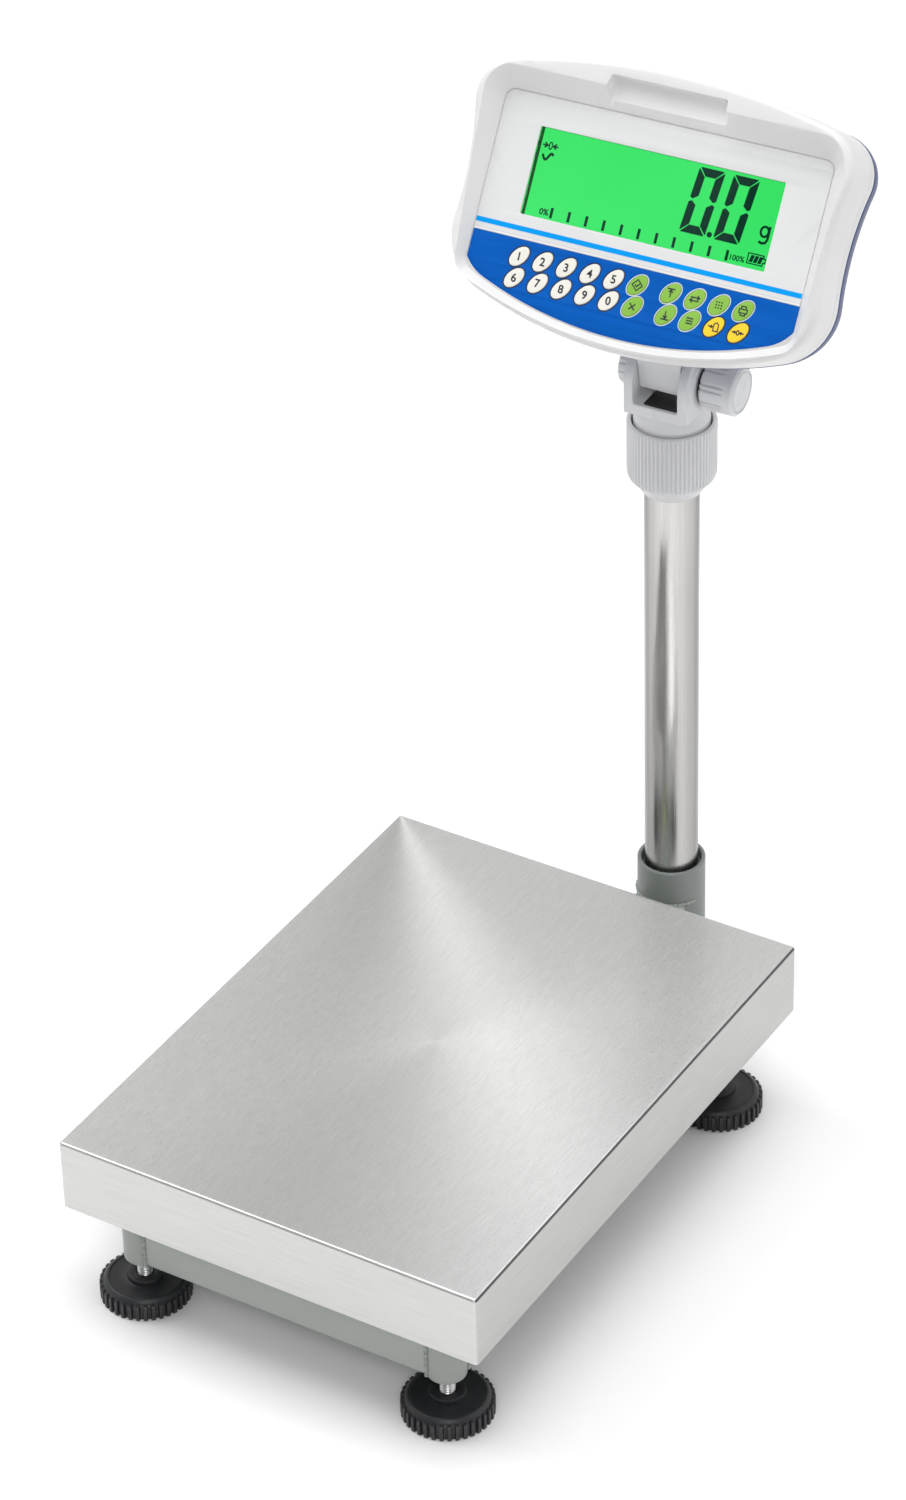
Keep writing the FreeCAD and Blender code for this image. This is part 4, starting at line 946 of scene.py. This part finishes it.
# ---------------------------------------------------------------- post, socket and arm
tube = softened([(16.5, 28.0), *[(POST_RADIUS, z) for z in (28.0, 60, 120, 200, 300, 384.0)], (16.5, 384.0)],
                0.3, 2,
                closed=True)
piece("post_tube_wall", turned(tube, 96, closed=True), "base", "post_steel", place=AT_POST,
      stands_for=["post_tube"])

SOCKET = 23.0                                 # outer radius
socket = softened([(18.05, 27.9), (1.0, 27.9), (1.0, 24.0), (22.4, 24.0), (SOCKET, 24.8), (SOCKET, 40),
                   (SOCKET, 60),
                   (SOCKET, 77.3), (22.4, 78.0), (20.9, 78.0), (20.25, 77.4), (20.2, 76), (20.2, 70.2),
                   (18.05, 70.0)], 0.4, 3, closed=True)
screw_holes = [moved(turned([(3.1, 0), (3.1, 30)], 24), at((0, POST_Y, z)) @ ALONG_Y) for z in (40, 58)]
socket_shape = cut(moved(turned(socket, 96, closed=True), AT_POST), *screw_holes)
piece("post_socket", socket_shape, "base", "socket_paint", stands_for=["post_bracket"], crease=35)


def tube_along(width, depth, wall, length, radius=3.0):
    """A rectangular tube along Y, with rounded edges, open at its ends."""
    outer = rounded_box((-width / 2, width / 2), (-depth / 2, depth / 2), radius, 4)
    inner = rounded_box((-width / 2 + wall, width / 2 - wall), (-depth / 2 + wall, depth / 2 - wall),
                        radius / 2, 4)
    return loft([[(p[0], y, p[1]) for p in ring] for ring, y in (
        (outer, -length / 2), (outer, length / 2), (inner, length / 2), (inner, -length / 2))], closed=True)


def bead(path, radius, seed):
    """A weld bead: a row of small overlapping ripples along a line of points."""
    rings, count, points = [], 10, [Vector(p) for p in path]
    for i, p in enumerate(points):
        way = (points[min(i + 1, len(points) - 1)] - points[max(i - 1, 0)]).normalized()
        side = way.orthogonal().normalized()
        up = way.cross(side)
        noise = math.sin(i * 1.9 + seed) * 0.12 + math.sin(i * 0.83 + seed * 2.1) * 0.12
        ripple = radius * (0.82 + 0.22 * math.cos(i * 2 * math.pi / 5) + noise)
        rings.append([tuple(p + side * ripple * math.cos(a) + up * ripple * math.sin(a))
                      for a in (2 * math.pi * k / count for k in range(count))])
    return loft(rings)


def line(start, end, step=0.55):
    """Points along a straight weld."""
    start, end = Vector(start), Vector(end)
    count = max(2, int((end - start).length / step))
    return [start.lerp(end, i / count) for i in range(count + 1)]


arm_start, arm_end = BASE_Y + FOOT_Y + 10.0, POST_Y - 3.0


def arm_ring(y, half, low, high, wall=0.0):
    return [(x, y, z) for x, z in rounded_box((wall - half, half - wall), (low + wall, high - wall),
                                              3.0 - wall, 4)]


wide, narrow = (25, 31, 61), (18, 31, 52)     # half width, bottom and top of the arm's two ends
arm_steps = [(arm_start, *wide), (arm_start + 36, *wide), (arm_start + 64, *narrow), (arm_end, *narrow)]
arm = loft([arm_ring(*step) for step in arm_steps] + [arm_ring(*step, 2.5) for step in arm_steps[::-1]],
           closed=True)
piece("post_arm", cut(arm, moved(turned([(SOCKET, 20), (SOCKET, 80)], 64), AT_POST)), "base", "frame_paint")
beads = [bead(line((x, arm_start + 0.2, 33), (x, arm_start + 0.2, 59)), 1.2, x) for x in (-24.5, 24.5)]
round_socket = [math.radians(198 + 144 * i / 100) for i in range(101)]
beads += [bead([(23.2 * math.cos(a), POST_Y + 23.2 * math.sin(a), z) for a in round_socket], 1.2, z)
          for z in (52.2, 30.8)]


# ---------------------------------------------------------------- base frame
def corner_post(x, y):
    profile = softened([(5.05, 31.0), (12.0, 31.0), (CORNER, 31.6), (CORNER, 40), (CORNER, 50),
                        (CORNER, 60.4),
                        (12.0, 61.0), (5.05, 61.0)], 0.3, 2, closed=True)
    return moved(turned(profile, 56, closed=True), at((x, y, 0)))


CORNER, RAIL_HALF, STOP_Y = 12.5, 10.0, 130.0  # a post's radius, half a rail, overload stops from the middle


spots = {n: (sx * FOOT_X, BASE_Y + sy * FOOT_Y) for n, (sx, sy) in CORNERS.items()}
piece("corner_post_tubes", merged(*[corner_post(*s) for s in spots.values()]), "base", "frame_paint",
      stands_for=["corner_posts"])
rails = []
for side in (-1, 1):
    rails += [moved(tube_along(20, 30, 2.0, 2 * FOOT_X), at((0, BASE_Y + side * FOOT_Y, FRAME_MIDDLE_Z))
                    @ turn_by(math.radians(90), 4, "Z")),
              moved(tube_along(20, 30, 2.0, 2 * FOOT_Y), at((side * FOOT_X, BASE_Y, FRAME_MIDDLE_Z)))]
cutters = [(s, moved(turned([(12.4, 20), (12.4, 70)], 48), at((*s, 0)))) for s in spots.values()]
for sx, sy in CORNERS.values():
    stop = (sx * FOOT_X, BASE_Y + sy * STOP_Y)
    cutters.append((stop, moved(turned([(4.0, 50), (4.0, 70)], 24), at((*stop, 0)))))
cutters.append(((0, BASE_Y + FOOT_Y), moved(turned([(5, 0), (5, 220)], 24),
                                            at((0, BASE_Y + 100, FRAME_MIDDLE_Z)) @ ALONG_Y)))


def near(spot, rail):
    return all(min(p[k] for p in rail[0]) - 5 < spot[k] < max(p[k] for p in rail[0]) + 5 for k in (0, 1))


cut_rails = [cut(rail, *[tool for spot, tool in cutters if near(spot, rail)]) for rail in rails]
piece("frame_rail_tubes", merged(*cut_rails), "base", "frame_paint", stands_for=["frame_rails"])
reach, out = math.sqrt(CORNER ** 2 - RAIL_HALF ** 2) + 0.6, RAIL_HALF + 0.3
for (sx, sy), (x, y) in zip(CORNERS.values(), spots.values()):
    for bx, by, seed in ((x - sx * reach, y + sy * out, x + y), (x + sx * out, y - sy * reach, x - y)):
        beads.append(bead(line((bx, by, 32), (bx, by, 60)), 1.5, seed))
piece("weld_beads", merged(*beads), "base", "frame_paint")


# ---------------------------------------------------------------- levelling feet
def stud():
    """A threaded stud: the crest's height follows the turn, so the thread is a true helix."""
    rings, count, steps, pitch, low, high = [], 20, 5, 1.5, 5.0, 55.0
    total = int((high - low) / pitch * steps)
    for i in range(total + 1):
        z = low + (high - low) * i / total
        taper = min(1.0, (high - z) / 1.2, max(0.0, z - low) / 0.8)
        ring = []
        for k in range(count):
            phase = (z / pitch - k / count) % 1.0
            r = 4.98 - 0.75 * abs(2 * phase - 1) - 0.7 * (1 - taper)
            a = 2 * math.pi * k / count
            ring.append((r * math.cos(a), r * math.sin(a), z))
        rings.append(ring)
    return loft(rings)


def foot_disc():
    """A moulded foot: square teeth round its rim, a chamfer, a dished top and a hub round the stud."""
    def toothed(angle, r, z):
        if r < 27.0:
            return r
        share = (angle / (2 * math.pi) * 36) % 1.0
        return r if 0.06 < share < 0.54 else r - 1.75
    outer = [(25.9, 0.0), (28.6, 0.0), (29.2, 0.6), (29.2, 6.0), (29.2, 10.7), (28.6, 11.4), (26.9, 11.6),
             (26.6, 12.3), (25.3, 13.7), (24.7, 14.2), (24.0, 14.45), (23.2, 14.4), (22.6, 13.9), (18, 13.6),
             (12.6, 13.6), (11.7, 14.0), (11.5, 15.0), (11.5, 16.6), (11.1, 17.3), (10.4, 17.5), (6.2, 17.5),
             (5.4, 17.2), (5.05, 16.8), (5.05, 4.8), (0.05, 4.7), (0.05, 1.6), (20, 1.6), (24.5, 1.6),
             (25.2, 0.9)]
    return turned(outer, 36 * 10, closed=True, radius=toothed)


foot, screw = foot_disc(), stud()
for name, (x, y) in spots.items():
    here = at((x, y, 0))
    piece("foot_" + name + "_disc", foot, "foot_" + name, "foot_plastic", place=here,
          stands_for=["foot_disc_" + name], crease=30)
    piece("foot_" + name + "_stud", screw, "stud_" + name, "zinc_steel", place=here,
          stands_for=["foot_stud_" + name], crease=50)


# ---------------------------------------------------------------- pan
def pan_ring(inset, z):
    x, y = PAN_HALF_X - inset, PAN_HALF_Y - inset
    return [(p, q + PAN_Y, z) for p, q in rounded_box((-x, x), (-y, y), max(0.3, 2.5 - inset), 6)]


def make_pan():
    """Folded sheet: a flat top, tight bends and skirts, with a hemmed lower edge."""
    bend = 2.2
    arc = [math.radians(15 * k) for k in range(7)]
    steps = [(1.2, 74.0), (1.0, 73.4), (0.5, PAN_LOW), (0.1, 73.5), (0.0, 74.2), (0.0, 90), (0.0, 110),
             (0.0, PAN_TOP - bend - 0.6), *[(bend * (1 - math.cos(a)), PAN_TOP - bend + bend * math.sin(a))
                                            for a in arc],
             (bend + 1.5, PAN_TOP), (60, PAN_TOP), (100, PAN_TOP)]
    inner = [(100, 122.8), (60, 122.8), (2.4, 122.8), (1.5, 122.4), (1.2, 121.5)]
    rings = [pan_ring(*step) for step in steps + inner]
    points, faces = loft(rings, caps=False)
    count = len(rings[0])
    top, under, last = (len(steps) - 1) * count, len(steps) * count, (len(rings) - 1) * count
    faces = [f for f in faces if f[0] // count != len(steps) - 1]
    faces += [tuple(range(top, top + count)), tuple(range(under, under + count))[::-1]]
    faces += [(last + i, last + (i + 1) % count, (i + 1) % count, i) for i in range(count)]
    return points, faces


pan = piece("pan_sheet", make_pan(), "pan", "pan_steel", "pan_top", stands_for=["pan"], crease=40)
for finish in ("pan_front_shaded", "pan_side_shaded", "pan_bend_painted_shade"):
    pan.data.materials.append(FINISH[finish])
# Painted light and shade on one sheet of steel: top, front and rear skirts and side skirts take tints of
# their own by which way their faces point.
TOP, FRONT, SIDE_WALL, PAINTED_SHADE_BEND = range(4)
# Painted shade: faces of the bend along the right top edge take the near-black copy.
for face in pan.data.polygons:
    n = face.normal
    face.material_index = (TOP if abs(n.z) > 0.9 else FRONT if abs(n.y) > abs(n.x)
                           else PAINTED_SHADE_BEND if n.x > 0 and n.z > 0.15 else SIDE_WALL)


# ---------------------------------------------------------------- CAD parts that keep their shape
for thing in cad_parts.values():
    if thing.hide_render:
        continue
    found = plain_name(thing.material_slots[0].material) if thing.material_slots else ""
    thing.data.materials.clear()
    thing.data.materials.append(FINISH.get(found, FINISH["zinc_steel"]))


# ---------------------------------------------------------------- floor, light and camera
floor_mesh = mesh_of(([(-9000, -9000, 0), (9000, -9000, 0), (9000, 9000, 0), (-9000, 9000, 0)],
                      [(0, 1, 2, 3)]))
floor_mesh.transform(Matrix.Scale(MM, 4))
floor_mesh.materials.append(plastic("studio_floor", (0.97, 0.97, 0.97), (0.98, 0.98, 0.98), 0.7,
                                    grain_depth=0.001))
linked(bpy.data.objects.new("studio_floor", floor_mesh))


def area(name, place, aim, size, power):
    """A square lamp at a place, aimed at a point. Places and sizes are in metres, and power is in watts."""
    data = bpy.data.lights.new(name, "AREA")
    data.shape, data.size, data.size_y, data.energy = "RECTANGLE", size, size, power
    lamp = linked(bpy.data.objects.new(name, data))
    lamp.location = place
    lamp.rotation_euler = (Vector(aim) - Vector(place)).to_track_quat("-Z", "Y").to_euler()


area("front_light", (2.0, -3.5, 3.4), (0, 0, 0.3), 2.2, 58)
area("key_light", (-1.9, -0.3, 2.6), (0, 0, 0.25), 1.5, 24)
area("top_light", (0.2, 0.1, 3.4), (0, 0, 0), 2.0, 42)
area("fill_light", (2.4, 0.8, 1.8), (0, 0, 0.3), 1.8, 5)


def studio_world():
    """A pale room that is dimmer on the side that the display looks at."""
    world = bpy.data.worlds.new("studio")
    world.use_nodes = True
    nodes, links = world.node_tree.nodes, world.node_tree.links
    place, facing = nodes.new("ShaderNodeTexCoord"), nodes.new("ShaderNodeVectorMath")
    facing.operation = "DOT_PRODUCT"
    facing.inputs[1].default_value = Vector((0.35, -0.90, 0.25)).normalized()
    shade = ramp_of(nodes, links, facing.outputs["Value"], (0.25, (0.80, 0.80, 0.80)),
                    (0.95, (0.16, 0.16, 0.16)))
    links.new(place.outputs["Generated"], facing.inputs[0])
    links.new(shade, nodes["Background"].inputs["Color"])
    nodes["Background"].inputs["Strength"].default_value = 1.0
    return world


bpy.context.scene.world = studio_world()
bpy.context.scene.view_settings.view_transform = "Standard"

camera = linked(bpy.data.objects.new("camera", bpy.data.cameras.new("camera")))
camera.data.lens, camera.data.sensor_width, camera.data.sensor_fit = 122.69, 36.0, "AUTO"
camera.data.clip_end = 50
azimuth, height, roll = math.radians(32.187), math.radians(34.717), math.radians(-1.621)
spot = (1.367045, -2.219228, 2.107445)
back = Vector((math.sin(azimuth) * math.cos(height), -math.cos(azimuth) * math.cos(height), math.sin(height)))
right = Vector((math.cos(azimuth), math.sin(azimuth), 0))
up = back.cross(right)
right, up = right * math.cos(roll) + up * math.sin(roll), up * math.cos(roll) - right * math.sin(roll)
camera.matrix_world = Matrix([*zip(right, up, back, spot), (0, 0, 0, 1)])
bpy.context.scene.camera = camera
